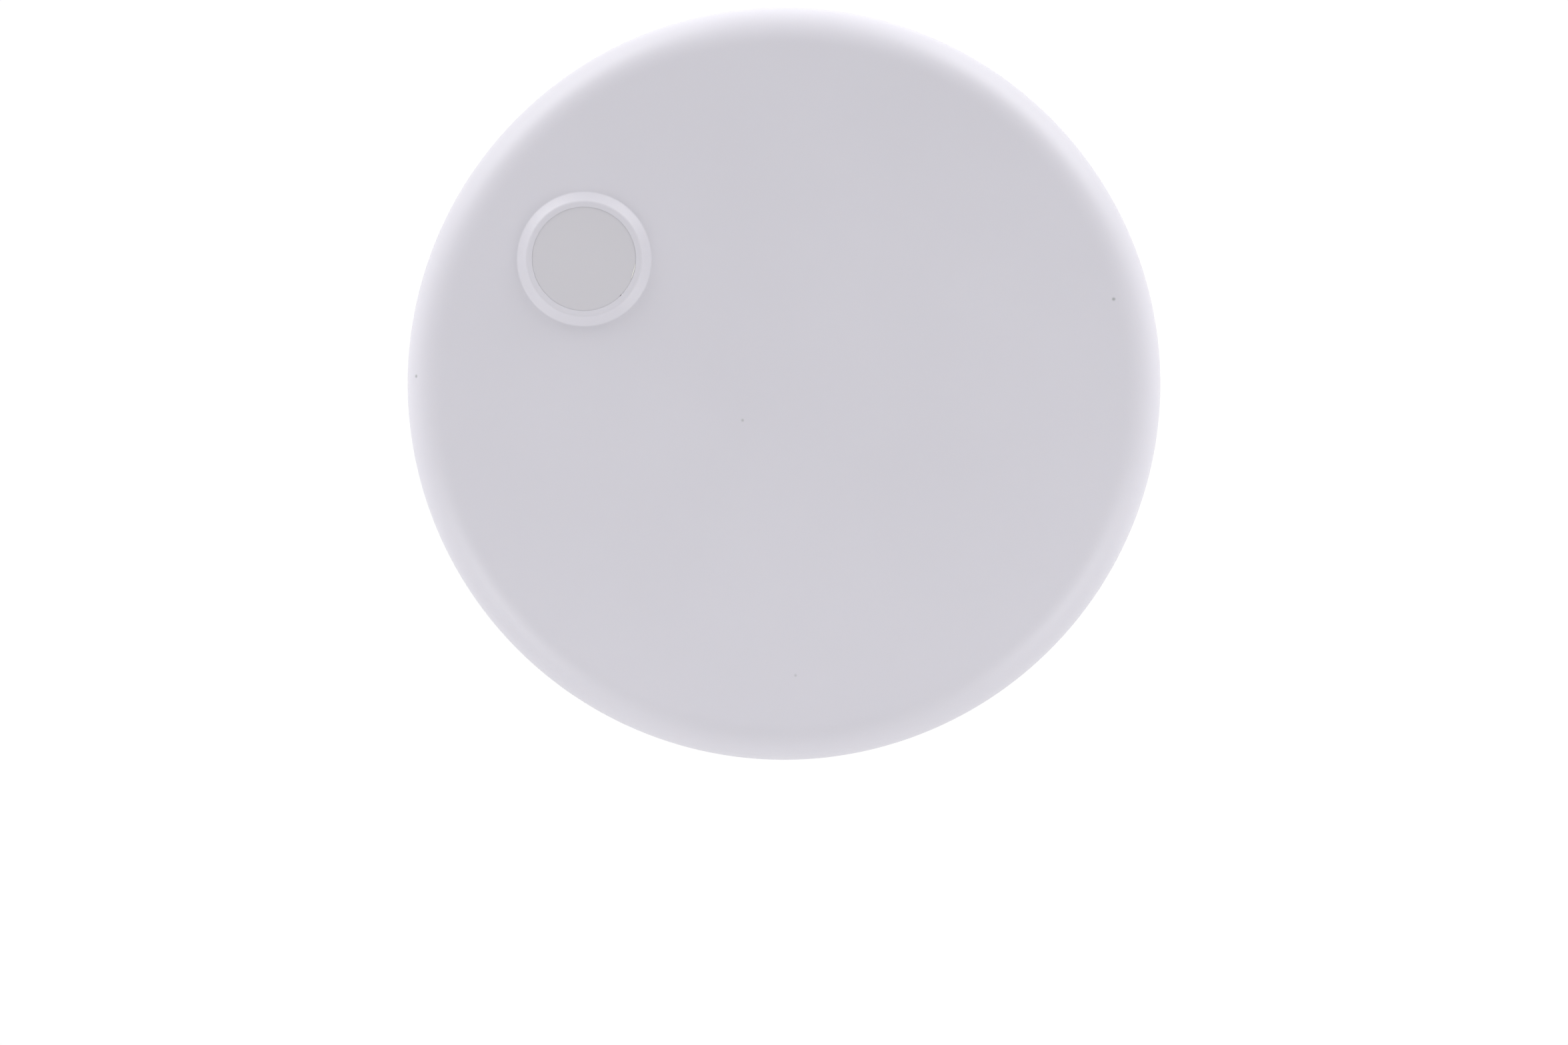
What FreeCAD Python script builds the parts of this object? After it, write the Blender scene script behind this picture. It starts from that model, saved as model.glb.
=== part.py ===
# A compact indoor weather station: a round white puck that hangs on a wall.
# It reads air temperature and humidity, and shows them through its thin front skin.
# Bench frame, in millimetres: the puck lies on its back, z rises from the wall plane to the face,
# x runs to the right and y up, as seen from the front. stand_up() then turns each piece upright.
import FreeCAD, Part
import math
import os
import re

import Sketcher

Vector = FreeCAD.Vector

SIZES = [
    # case
    ("rim_room", 2.415, "rim beyond the battery bay's lower corners"),
    ("face_room", 3.5, "board to the inside of the face"),
    ("front_edge_radius", 3.5, "round of the front edge"),
    ("inner_edge_radius", 1.5, "round inside the front edge"),
    ("side_wall", 1.6, "front cover's side"),
    ("front_wall", 2.0, "front cover's face"),
    ("window_skin", 0.8, "face over the display, thin enough to shine through"),
    ("parting_height", 8.0, "wall plane to the joint line"),
    ("parting_gap", 0.3, "open joint line"),
    ("skirt_edge_radius", 0.3, "broken edges along the joint line"),
    ("back_edge_radius", 2.5, "round of the back edge"),
    ("spigot_clearance", 0.15, "front cover over the housing's spigot"),
    ("spigot_wall", 1.25, ""),
    ("spigot_length", 4.0, "above the joint line"),
    # push button, in its raised lip
    ("button_inset", 13.24, "button axis to the rim"),
    ("button_angle", 31.95, "degrees above the horizontal, on the left"),
    ("button_radius", 4.74, ""),
    ("button_gap", 0.08, "around the button"),
    ("button_edge_radius", 0.1, ""),
    ("button_rise", 0.6, "button top above the face, just under the lip"),
    ("lip_height", 0.7, "lip crest above the face"),
    ("lip_land", 0.55, "width of the nearly flat top"),
    ("lip_outer_bevel", 0.83, "width of the slope down to the face"),
    ("lip_crest_radius", 0.5, "shoulder between the top and the slope"),
    ("lip_foot_radius", 0.3, "blend into the face"),
    ("lip_land_fall", 0.05, "dip of the top towards the button"),
    ("flange_width", 0.8, "keeps the button in"),
    ("flange_thickness", 1.0, ""),
    ("flange_clearance", 0.1, "under the front wall"),
    ("guide_clearance", 0.2, "around the flange"),
    ("guide_wall", 0.9, ""),
    ("guide_length", 2.2, ""),
    ("button_roof", 1.2, "thickness of the button's top"),
    ("button_skirt", 1.1, "wall of the button's side"),
    ("stem_radius", 1.4, ""),
    # battery door, which slides down out of the housing
    ("door_thickness", 1.8, ""),
    ("door_side_reach", 2.1, "door beyond the bay's sides"),
    ("door_top_reach", 1.65, "door beyond the bay's top end"),
    ("door_side_clearance", 0.15, ""),
    ("slide_clearance", 0.1, "above and below the runners"),
    ("runner_reach", 0.9, "runners beyond the door's sides"),
    ("runner_height", 1.0, ""),
    ("runner_setback", 0.25, "upper end of the runners below the bay's top end"),
    ("runner_bite", 0.4, "runners inside the bay's sides"),
    ("door_foot_setback", 1.55, "solid lower end of the door below the bay"),
    ("rail_wall", 1.25, "outside the runner's groove"),
    ("rail_floor", 1.2, "under the runner's groove"),
    ("rail_rim_overlap", 0.6, "rail into the rim wall"),
    ("grip_width", 12.0, "thumb grip in the door"),
    ("grip_height", 5.0, ""),
    ("grip_depth", 0.6, ""),
    ("grip_above_centre", 12.0, ""),
    ("grip_corner_radius", 2.2, ""),
    ("grip_rib", 0.6, "width of a grip rib"),
    ("grip_rib_inset", 0.1, "rib tops in front of the back plane"),
    ("grip_rib_pitch", 1.7, ""),
    ("arrow_width", 4.0, ""),
    ("arrow_height", 2.6, ""),
    ("arrow_depth", 0.3, ""),
    ("arrow_gap", 1.6, "between grip and arrow"),
    # battery bay for two AAA cells
    ("cell_diameter", 10.5, "AAA"),
    ("cell_length", 44.5, "AAA, with its button"),
    ("sleeve_thickness", 0.15, "printed plastic sleeve on the can"),
    ("nub_radius", 1.9, "positive button"),
    ("nub_height", 1.0, ""),
    ("crimp_inset", 0.35, "can beyond the sleeve at each end"),
    ("cell_gap", 0.6, "beside and between the cells"),
    ("cell_clearance", 0.3, "under and over the cells"),
    ("bay_wall", 1.2, ""),
    ("bay_drop", 5.0, "bay centre below the puck's centre"),
    ("contact_thickness", 0.3, "sprung steel strip"),
    ("contact_width", 7.8, ""),
    ("contact_inset", 0.5, "strip's lower edge above the groove floor"),
    ("contact_tail", 2.0, "width of the soldered tail"),
    ("tail_slot_clearance", 0.2, ""),
    ("spring_length", 2.6, "as pressed by the cell"),
    ("spring_wire", 0.5, "diameter"),
    ("spring_base_radius", 3.2, "wire centre"),
    ("spring_tip_radius", 2.2, "wire centre"),
    ("spring_half_turns", 5, "number of half turns"),
    # board
    ("chip_room", 1.2, "between the bay and the board"),
    ("board_thickness", 1.2, ""),
    ("board_clearance", 1.0, "inside the front cover's side"),
    # case screws and what they pass through
    ("boss_inset", 7.0, "screw axis to the rim"),
    ("upper_screw_angle", 48.0, "degrees from the x axis"),
    ("lower_screw_angle", -35.0, "degrees from the x axis"),
    ("pilot_radius", 0.9, ""),
    ("boss_wall", 1.6, ""),
    ("boss_shoulder", 0.75, "step that the board rests on"),
    ("boss_clearance", 0.2, "boss in board and column"),
    ("boss_seat", 10.0, "wall plane to the boss's end"),
    ("pilot_depth", 7.0, ""),
    ("column_wall", 1.05, ""),
    ("screw_seat", 3.0, "wall plane to the head's seat"),
    ("head_radius", 1.9, ""),
    ("head_height", 1.5, ""),
    ("head_clearance", 0.35, "counterbore around the head"),
    ("shank_radius", 0.7, "core of the thread"),
    ("thread_depth", 0.17, ""),
    ("thread_pitch", 0.8, ""),
    ("shank_length", 12.0, ""),
    ("shank_hole_clearance", 0.25, "plain hole around the thread"),
    ("recess_width", 0.45, "cross recess"),
    ("recess_length", 2.1, ""),
    ("recess_depth", 0.8, ""),
    # keyhole
    ("keyhole_radius", 3.2, "entry for a screw head"),
    ("keyhole_gap", 4.6, "entry's centre above the door"),
    ("keyhole_slot_radius", 1.7, "half the slot's width"),
    ("keyhole_slot_length", 4.3, "entry's centre to the slot's end centre"),
    # air sensor and its chimney
    ("sensor_inset", 12.0, "sensor axis to the rim"),
    ("sensor_down", 2.0, "sensor axis, below the centre"),
    ("chimney_inner", 6.8, "inside width"),
    ("chimney_wall", 1.0, ""),
    ("gasket_thickness", 1.0, "foam ring under the board"),
    ("sensor_width", 2.5, ""),
    ("sensor_height", 0.9, ""),
    ("sensor_port_radius", 0.45, ""),
    ("sensor_port_depth", 0.3, ""),
    ("vent_width", 1.0, ""),
    ("vent_length", 5.4, ""),
    ("vent_pitch", 1.9, ""),
    ("membrane_thickness", 0.25, "dust filter inside the vents"),
    ("membrane_clearance", 0.15, ""),
    ("isolation_slot", 1.0, "cut in the board beside the sensor"),
    ("isolation_gap", 0.7, "gasket to slot"),
    # display behind the thin skin
    ("display_gap", 0.228, "display's nearest corner to the button's guide"),
    ("display_angle", 29.38, "degrees below the horizontal, button to that corner"),
    ("dot_pitch", 2.2, ""),
    ("dot_well", 1.6, "side of a light well"),
    ("dot_columns", 11, "number of dots across"),
    ("dot_rows", 7, "number of dots down"),
    ("lamp_length", 1.0, ""),
    ("lamp_width", 0.5, ""),
    ("lamp_height", 0.4, ""),
    ("film_thickness", 0.2, "diffuser film"),
    ("window_clearance", 0.25, "light grid in its recess"),
    # tact switch under the button
    ("switch_width", 6.0, ""),
    ("switch_base_height", 1.6, ""),
    ("switch_floor", 0.3, ""),
    ("switch_plate", 0.2, "steel cover"),
    ("switch_plate_inset", 0.2, ""),
    ("plunger_radius", 1.7, ""),
    ("plunger_flange", 0.6, "keeps the plunger in"),
    ("plunger_flange_height", 0.55, ""),
    ("plunger_clearance", 0.1, ""),
    ("plunger_rise", 0.45, "above the steel cover"),
    ("leg_width", 0.7, ""),
    ("leg_reach", 1.0, ""),
    ("leg_thickness", 0.2, ""),
    # radio module on the back of the board
    ("module_inset", 12.5, "module centre to the rim"),
    ("module_width", 12.0, ""),
    ("module_height", 16.0, ""),
    ("module_board", 0.8, ""),
    ("shield_margin", 0.8, "shield inside the module's edge"),
    ("antenna_strip", 4.2, "bare strip for the antenna"),
    ("shield_height", 2.0, ""),
    ("shield_wall", 0.2, ""),
    ("radio_chip_width", 6.0, ""),
    ("radio_chip_height", 0.85, ""),
    ("antenna_length", 7.0, ""),
    ("antenna_width", 2.0, ""),
    ("antenna_height", 0.8, ""),
    ("chip_gap", 0.8, "around the radio's chip"),
    ("crystal_length", 3.2, ""),
    ("crystal_width", 1.5, ""),
    ("crystal_height", 0.8, ""),
    # other parts on the board
    ("driver_width", 5.0, "display driver"),
    ("driver_height", 0.85, ""),
    ("driver_up", 6.0, "driver centre above the puck's centre"),
    ("reservoir_radius", 2.5, "reservoir capacitor"),
    ("reservoir_height", 5.4, ""),
    ("reservoir_foot", 0.8, "square plastic foot"),
    ("reservoir_lip", 0.1, "foot beyond the can"),
    ("reservoir_up", 9.5, "above the puck's centre, in line with the sensor"),
    ("passive_length", 1.6, ""),
    ("passive_width", 0.8, ""),
    ("passive_height", 0.7, ""),
    ("passive_pitch", 2.2, ""),
    ("passive_columns", 4, "number"),
    ("passive_rows", 2, "number"),
    ("passive_setback", 2.9, "first passive from the radio module's left side"),
    ("passive_gap", 2.6, "first passive above the radio module"),
]

doc = FreeCAD.newDocument("weather_station")
sheet = doc.addObject("Spreadsheet::Sheet", "Sizes")
for row, (alias, value, note) in enumerate(SIZES, start=1):
    sheet.set(f"A{row}", alias)
    sheet.set(f"B{row}", str(value))
    sheet.set(f"C{row}", note)
    sheet.setAlias(f"B{row}", alias)
doc.recompute()

# Places that follow from the sizes, as expressions.
back_wall = "(door_thickness + slide_clearance)"
cell_low = "(door_thickness + cell_clearance)"
cell_axis = f"({cell_low} + cell_diameter / 2)"
cell_side = "((cell_diameter + cell_gap) / 2)"
bay_half = "(cell_diameter + 1.5 * cell_gap)"
bay_length = "(cell_length + 2 * contact_thickness + spring_length)"
bay_bottom = f"(-bay_drop - {bay_length} / 2)"
bay_top = f"(-bay_drop + {bay_length} / 2)"
bay_floor_low = f"({cell_low} + cell_diameter + cell_clearance)"
bay_floor_high = f"({bay_floor_low} + bay_wall)"
disc_radius = f"(sqrt(({bay_half} + bay_wall)^2 + ({bay_bottom} - bay_wall)^2) + rim_room)"
cover_inner = f"({disc_radius} - side_wall)"
spigot_outer = f"({cover_inner} - spigot_clearance)"
housing_inner = f"({spigot_outer} - spigot_wall)"
door_half = f"({bay_half} + door_side_reach)"
door_top = f"({bay_top} + door_top_reach)"
runner_top = f"({bay_top} - runner_setback)"
runner_low = f"({back_wall} + slide_clearance)"
runner_high = f"({runner_low} + runner_height)"
groove_high = f"({runner_high} + slide_clearance)"
groove_half = f"({door_half} + runner_reach + door_side_clearance)"
rail_half = f"({groove_half} + rail_wall)"
keyhole_up = f"({door_top} + keyhole_gap)"
keyhole_end_up = f"({keyhole_up} + keyhole_slot_length)"
board_low = f"({bay_floor_high} + chip_room)"
board_high = f"({board_low} + board_thickness)"
board_radius = f"({cover_inner} - board_clearance)"
front_inner = f"({board_high} + face_room)"
face = f"({front_inner} + front_wall)"
boss_radius = "(pilot_radius + boss_wall)"
boss_hole = f"({boss_radius} + boss_clearance)"
column_radius = f"({boss_hole} + column_wall)"
thread_radius = "(shank_radius + thread_depth)"
button_x = f"(-({disc_radius} - button_inset) * cos(button_angle * 1 deg))"
button_y = f"(({disc_radius} - button_inset) * sin(button_angle * 1 deg))"
bore_radius = "(button_radius + button_gap)"
flange_radius = "(button_radius + flange_width)"
flange_high = f"({front_inner} - flange_clearance)"
flange_low = f"({flange_high} - flange_thickness)"
guide_radius = f"({flange_radius} + guide_clearance)"
switch_high = f"({board_high} + switch_base_height)"
plate_high = f"({switch_high} + switch_plate)"
plunger_top = f"({plate_high} + plunger_rise)"
sensor_x = f"(-({disc_radius} - sensor_inset))"
sensor_y = "(-sensor_down)"
chimney_outer = "(chimney_inner + 2 * chimney_wall)"
chimney_high = f"({board_low} - gasket_thickness)"
module_x = f"({disc_radius} - module_inset)"
grid_width = "(dot_pitch * (dot_columns + 0.5))"
grid_height = "(dot_pitch * (dot_rows + 0.5))"
display_reach = f"({guide_radius} + guide_wall + display_gap)"
display_x = f"({button_x} + {display_reach} * cos(display_angle * 1 deg) + {grid_width} / 2)"
display_y = f"({button_y} - {display_reach} * sin(display_angle * 1 deg) - {grid_height} / 2)"
window_high = f"({face} - window_skin)"
film_low = f"({window_high} - film_thickness)"
screw_places = [
    (
        f"({side} * ({disc_radius} - boss_inset) * cos({angle} * 1 deg))",
        f"(({disc_radius} - boss_inset) * sin({angle} * 1 deg))",
    )
    for angle in ("upper_screw_angle", "lower_screw_angle")
    for side in (1, -1)
]
ALIASES = {alias for alias, value, note in SIZES}
UPRIGHT = FreeCAD.Placement(Vector(0, 0, 0), FreeCAD.Rotation(Vector(1, 0, 0), 90))
nodes = []


def bound(expression):
    """The expression with each alias read from the sheet."""
    return re.sub(r"[a-z_]\w*", lambda m: f"Sizes.{m[0]}" if m[0] in ALIASES else m[0], str(expression))


def number(expression):
    return float(sheet.evalExpression(bound(expression)))


def stand_up(piece, label):
    """Names the finished piece and turns it upright."""
    piece.Label = label
    piece.Placement = UPRIGHT
    nodes.append(piece)
    return piece


def checked(feature):
    doc.recompute()
    if "Invalid" in feature.State or "Error" in feature.State:
        raise RuntimeError(f"{feature.Name} failed: {feature.State}")
    return feature


# Sketches and features of a body


def new_body(name):
    return doc.addObject("PartDesign::Body", name)


def new_sketch(body, name, height="0"):
    """An empty sketch, parallel to the wall plane at that height."""
    sketch = body.newObject("Sketcher::SketchObject", name)
    plane = next(f for f in body.Origin.OriginFeatures if f.Role == "XY_Plane")
    sketch.AttachmentSupport = [(plane, "")]
    sketch.MapMode = "FlatFace"
    sketch.setExpression("AttachmentOffset.Base.z", bound(height))
    return sketch


def bind_point(sketch, item, point, x, y):
    """Ties a point's distances from the origin to expressions."""
    for kind, expression in (("DistanceX", x), ("DistanceY", y)):
        index = sketch.addConstraint(Sketcher.Constraint(kind, -1, 1, item, point, number(expression)))
        sketch.setExpression(f"Constraints[{index}]", bound(expression))


def draw_circle(sketch, radius, x=None, y=None):
    centre = Vector(number(x) if x else 0, number(y) if y else 0, 0)
    item = sketch.addGeometry(Part.Circle(centre, Vector(0, 0, 1), number(radius)), False)
    if x is None:
        sketch.addConstraint(Sketcher.Constraint("Coincident", item, 3, -1, 1))
    else:
        bind_point(sketch, item, 3, x, y)
    index = sketch.addConstraint(Sketcher.Constraint("Radius", item, number(radius)))
    sketch.setExpression(f"Constraints[{index}]", bound(radius))


def draw_polygon(sketch, corners):
    """Straight lines through corners, each tied to its two expressions."""
    points = [Vector(number(x), number(y), 0) for x, y in corners]
    count = len(points)
    first = sketch.GeometryCount
    for k in range(count):
        sketch.addGeometry(Part.LineSegment(points[k], points[(k + 1) % count]), False)
    for k in range(count):
        sketch.addConstraint(Sketcher.Constraint("Coincident", first + k, 2, first + (k + 1) % count, 1))
    for k, (x, y) in enumerate(corners):
        bind_point(sketch, first + k, 1, x, y)


def draw_rectangle(sketch, low_x, high_x, low_y, high_y):
    draw_polygon(sketch, [(low_x, low_y), (high_x, low_y), (high_x, high_y), (low_x, high_y)])


def centred(x, y, width, height):
    """Corners of a rectangle about a point, for draw_rectangle."""
    return f"{x} - {width} / 2", f"{x} + {width} / 2", f"{y} - {height} / 2", f"{y} + {height} / 2"


def pad(body, name, sketch, length):
    """Material from the sketch towards the front."""
    feature = body.newObject("PartDesign::Pad", name)
    feature.Profile = sketch
    feature.setExpression("Length", bound(length))
    return checked(feature)


def pocket(body, name, sketch, depth, forward=True):
    """A cut from the sketch towards the front, or towards the back."""
    feature = body.newObject("PartDesign::Pocket", name)
    feature.Profile = sketch
    feature.Reversed = forward
    before = feature.BaseFeature.Shape.Volume
    feature.setExpression("Length", bound(depth))
    checked(feature)
    if feature.Shape.Volume > before - 1e-6:
        raise RuntimeError(f"{name} cuts nothing")
    return feature


def ring_edges(shape, x, y, z, radius):
    """Names of the round edges of that radius about an upright axis, at that height."""
    found = []
    for index, edge in enumerate(shape.Edges, start=1):
        curve = edge.Curve
        if isinstance(curve, Part.Circle) and abs(curve.Radius - number(radius)) < 1e-4:
            if (curve.Center - Vector(number(x), number(y), number(z))).Length < 1e-4:
                found.append(f"Edge{index}")
    return found


def upright_edges(shape, places):
    """Names of the straight upright edges over the given points."""
    found = []
    for index, edge in enumerate(shape.Edges, start=1):
        box = edge.BoundBox
        if box.XLength < 1e-6 and box.YLength < 1e-6:
            if any(abs(box.XMin - number(x)) < 1e-4 and abs(box.YMin - number(y)) < 1e-4 for x, y in places):
                found.append(f"Edge{index}")
    return found


def fillet(body, name, base, edges, radius):
    if not edges:
        raise RuntimeError(f"{name} found no edge")
    feature = body.newObject("PartDesign::Fillet", name)
    feature.Base = (base, edges)
    feature.setExpression("Radius", bound(radius))
    return checked(feature)


# Plain solids and booleans


def place(piece, x, y, z):
    for axis, expression in zip("xyz", (x, y, z)):
        piece.setExpression(f"Placement.Base.{axis}", bound(expression))


def box(name, low_x, high_x, low_y, high_y, low_z, high_z):
    piece = doc.addObject("Part::Box", name)
    piece.setExpression("Length", bound(f"({high_x}) - ({low_x})"))
    piece.setExpression("Width", bound(f"({high_y}) - ({low_y})"))
    piece.setExpression("Height", bound(f"({high_z}) - ({low_z})"))
    place(piece, low_x, low_y, low_z)
    return piece


def block(label, low_x, high_x, low_y, high_y, low_z, high_z):
    """A plain box that is a piece by itself, with its place bound in the upright frame."""
    piece = box(f"{label}_block", low_x, high_x, low_y, high_y, low_z, high_z)
    stand_up(piece, label)
    place(piece, low_x, f"-({low_z})", low_y)
    checked(piece)


def rod(name, radius, x, y, low_z, high_z):
    """An upright cylinder."""
    piece = doc.addObject("Part::Cylinder", name)
    piece.setExpression("Radius", bound(radius))
    piece.setExpression("Height", bound(f"({high_z}) - ({low_z})"))
    place(piece, x, y, low_z)
    return piece


def cell_rod(name, radius, x, low_y, high_y):
    """A cylinder that lies along the bay."""
    piece = doc.addObject("Part::Cylinder", name)
    piece.setExpression("Radius", bound(radius))
    piece.setExpression("Height", bound(f"({high_y}) - ({low_y})"))
    piece.Placement = FreeCAD.Placement(Vector(0, 0, 0), FreeCAD.Rotation(Vector(1, 0, 0), -90))
    place(piece, x, low_y, cell_axis)
    return piece


def fused(name, *pieces):
    piece = doc.addObject("Part::MultiFuse", name)
    piece.Shapes = list(pieces)
    piece.Refine = True
    return checked(piece)


def without(name, base, *tools):
    tool = tools[0] if len(tools) == 1 else fused(f"{name}_tools", *tools)
    piece = doc.addObject("Part::Cut", name)
    piece.Base = base
    piece.Tool = tool
    return checked(piece)


def made_of(name, shape):
    """A document object that holds a shape worked out here."""
    piece = doc.addObject("Part::Feature", name)
    piece.Shape = shape
    return piece


# Case


def front_cover():
    body = new_body("front_cover_body")
    skirt_low = "(parting_height + parting_gap)"
    outline = new_sketch(body, "cover_outline", skirt_low)
    draw_circle(outline, disc_radius)
    blank = pad(body, "cover_blank", outline, f"{face} - {skirt_low}")
    front_edge = ring_edges(blank.Shape, "0", "0", face, disc_radius)
    fillet(body, "cover_front_edge", blank, front_edge, "front_edge_radius")
    hollow = new_sketch(body, "cover_hollow", skirt_low)
    draw_circle(hollow, cover_inner)
    dished = pocket(body, "cover_dish", hollow, f"{front_inner} - {skirt_low}")
    inner_edge = ring_edges(dished.Shape, "0", "0", front_inner, cover_inner)
    inside = fillet(body, "cover_inner_edge", dished, inner_edge, "inner_edge_radius")
    skirt_edge = ring_edges(inside.Shape, "0", "0", skirt_low, disc_radius)
    fillet(body, "cover_skirt_edge", inside, skirt_edge, "skirt_edge_radius")

    # the display shines through a thinner skin
    window_width = f"({grid_width} + 2 * window_clearance)"
    window_height = f"({grid_height} + 2 * window_clearance)"
    window = new_sketch(body, "window_outline", front_inner)
    draw_rectangle(window, *centred(display_x, display_y, window_width, window_height))
    pocket(body, "window_recess", window, f"{window_high} - {front_inner}")

    # screw bosses, stepped so that the board rests on their shoulders
    shoulders = new_sketch(body, "boss_shoulders", board_high)
    pins = new_sketch(body, "boss_pins", "boss_seat")
    pilots = new_sketch(body, "boss_pilots", "boss_seat")
    for x, y in screw_places:
        draw_circle(shoulders, f"{boss_radius} + boss_shoulder", x, y)
        draw_circle(pins, boss_radius, x, y)
        draw_circle(pilots, "pilot_radius", x, y)
    pad(body, "boss_shoulder_pads", shoulders, f"{front_inner} - {board_high}")
    pad(body, "boss_pin_pads", pins, f"{front_inner} - boss_seat")
    pocket(body, "boss_pilot_holes", pilots, "pilot_depth")

    # collar that guides the button's flange
    collar = new_sketch(body, "guide_outline", f"{front_inner} - guide_length")
    draw_circle(collar, f"{guide_radius} + guide_wall", button_x, button_y)
    draw_circle(collar, guide_radius, button_x, button_y)
    pad(body, "guide_collar", collar, "guide_length")

    # raised lip around the button: a low cone outside, a nearly flat top
    crest = f"({bore_radius} + lip_land)"
    foot = f"({crest} + lip_outer_bevel)"
    cone = body.newObject("PartDesign::AdditiveCone", "lip_cone")
    cone.setExpression("Radius1", bound(foot))
    cone.setExpression("Radius2", bound(crest))
    cone.setExpression("Height", bound("lip_height"))
    place_cone(body, cone, face)
    lip_foot = ring_edges(cone.Shape, button_x, button_y, face, foot)
    fillet(body, "lip_foot", cone, lip_foot, "lip_foot_radius")
    dip_low = f"({face} + lip_height - lip_land_fall)"
    dip = body.newObject("PartDesign::SubtractiveCone", "lip_dip")
    dip.setExpression("Radius1", bound(bore_radius))
    dip.setExpression("Radius2", bound(crest))
    dip.setExpression("Height", bound("lip_land_fall"))
    place_cone(body, dip, dip_low)
    bore = new_sketch(body, "button_bore_outline", front_inner)
    draw_circle(bore, bore_radius, button_x, button_y)
    bored = pocket(body, "button_bore", bore, "front_wall + lip_height")
    lip_crest = ring_edges(bored.Shape, button_x, button_y, f"{face} + lip_height", crest)
    fillet(body, "lip_crest", bored, lip_crest, "lip_crest_radius")
    return stand_up(body, "front_cover")


def place_cone(body, cone, height):
    """Sets a cone on the button's axis."""
    plane = next(f for f in body.Origin.OriginFeatures if f.Role == "XY_Plane")
    cone.AttachmentSupport = [(plane, "")]
    cone.MapMode = "FlatFace"
    for axis, expression in zip("xyz", (button_x, button_y, height)):
        cone.setExpression(f"AttachmentOffset.Base.{axis}", bound(expression))
    checked(cone)


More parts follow.
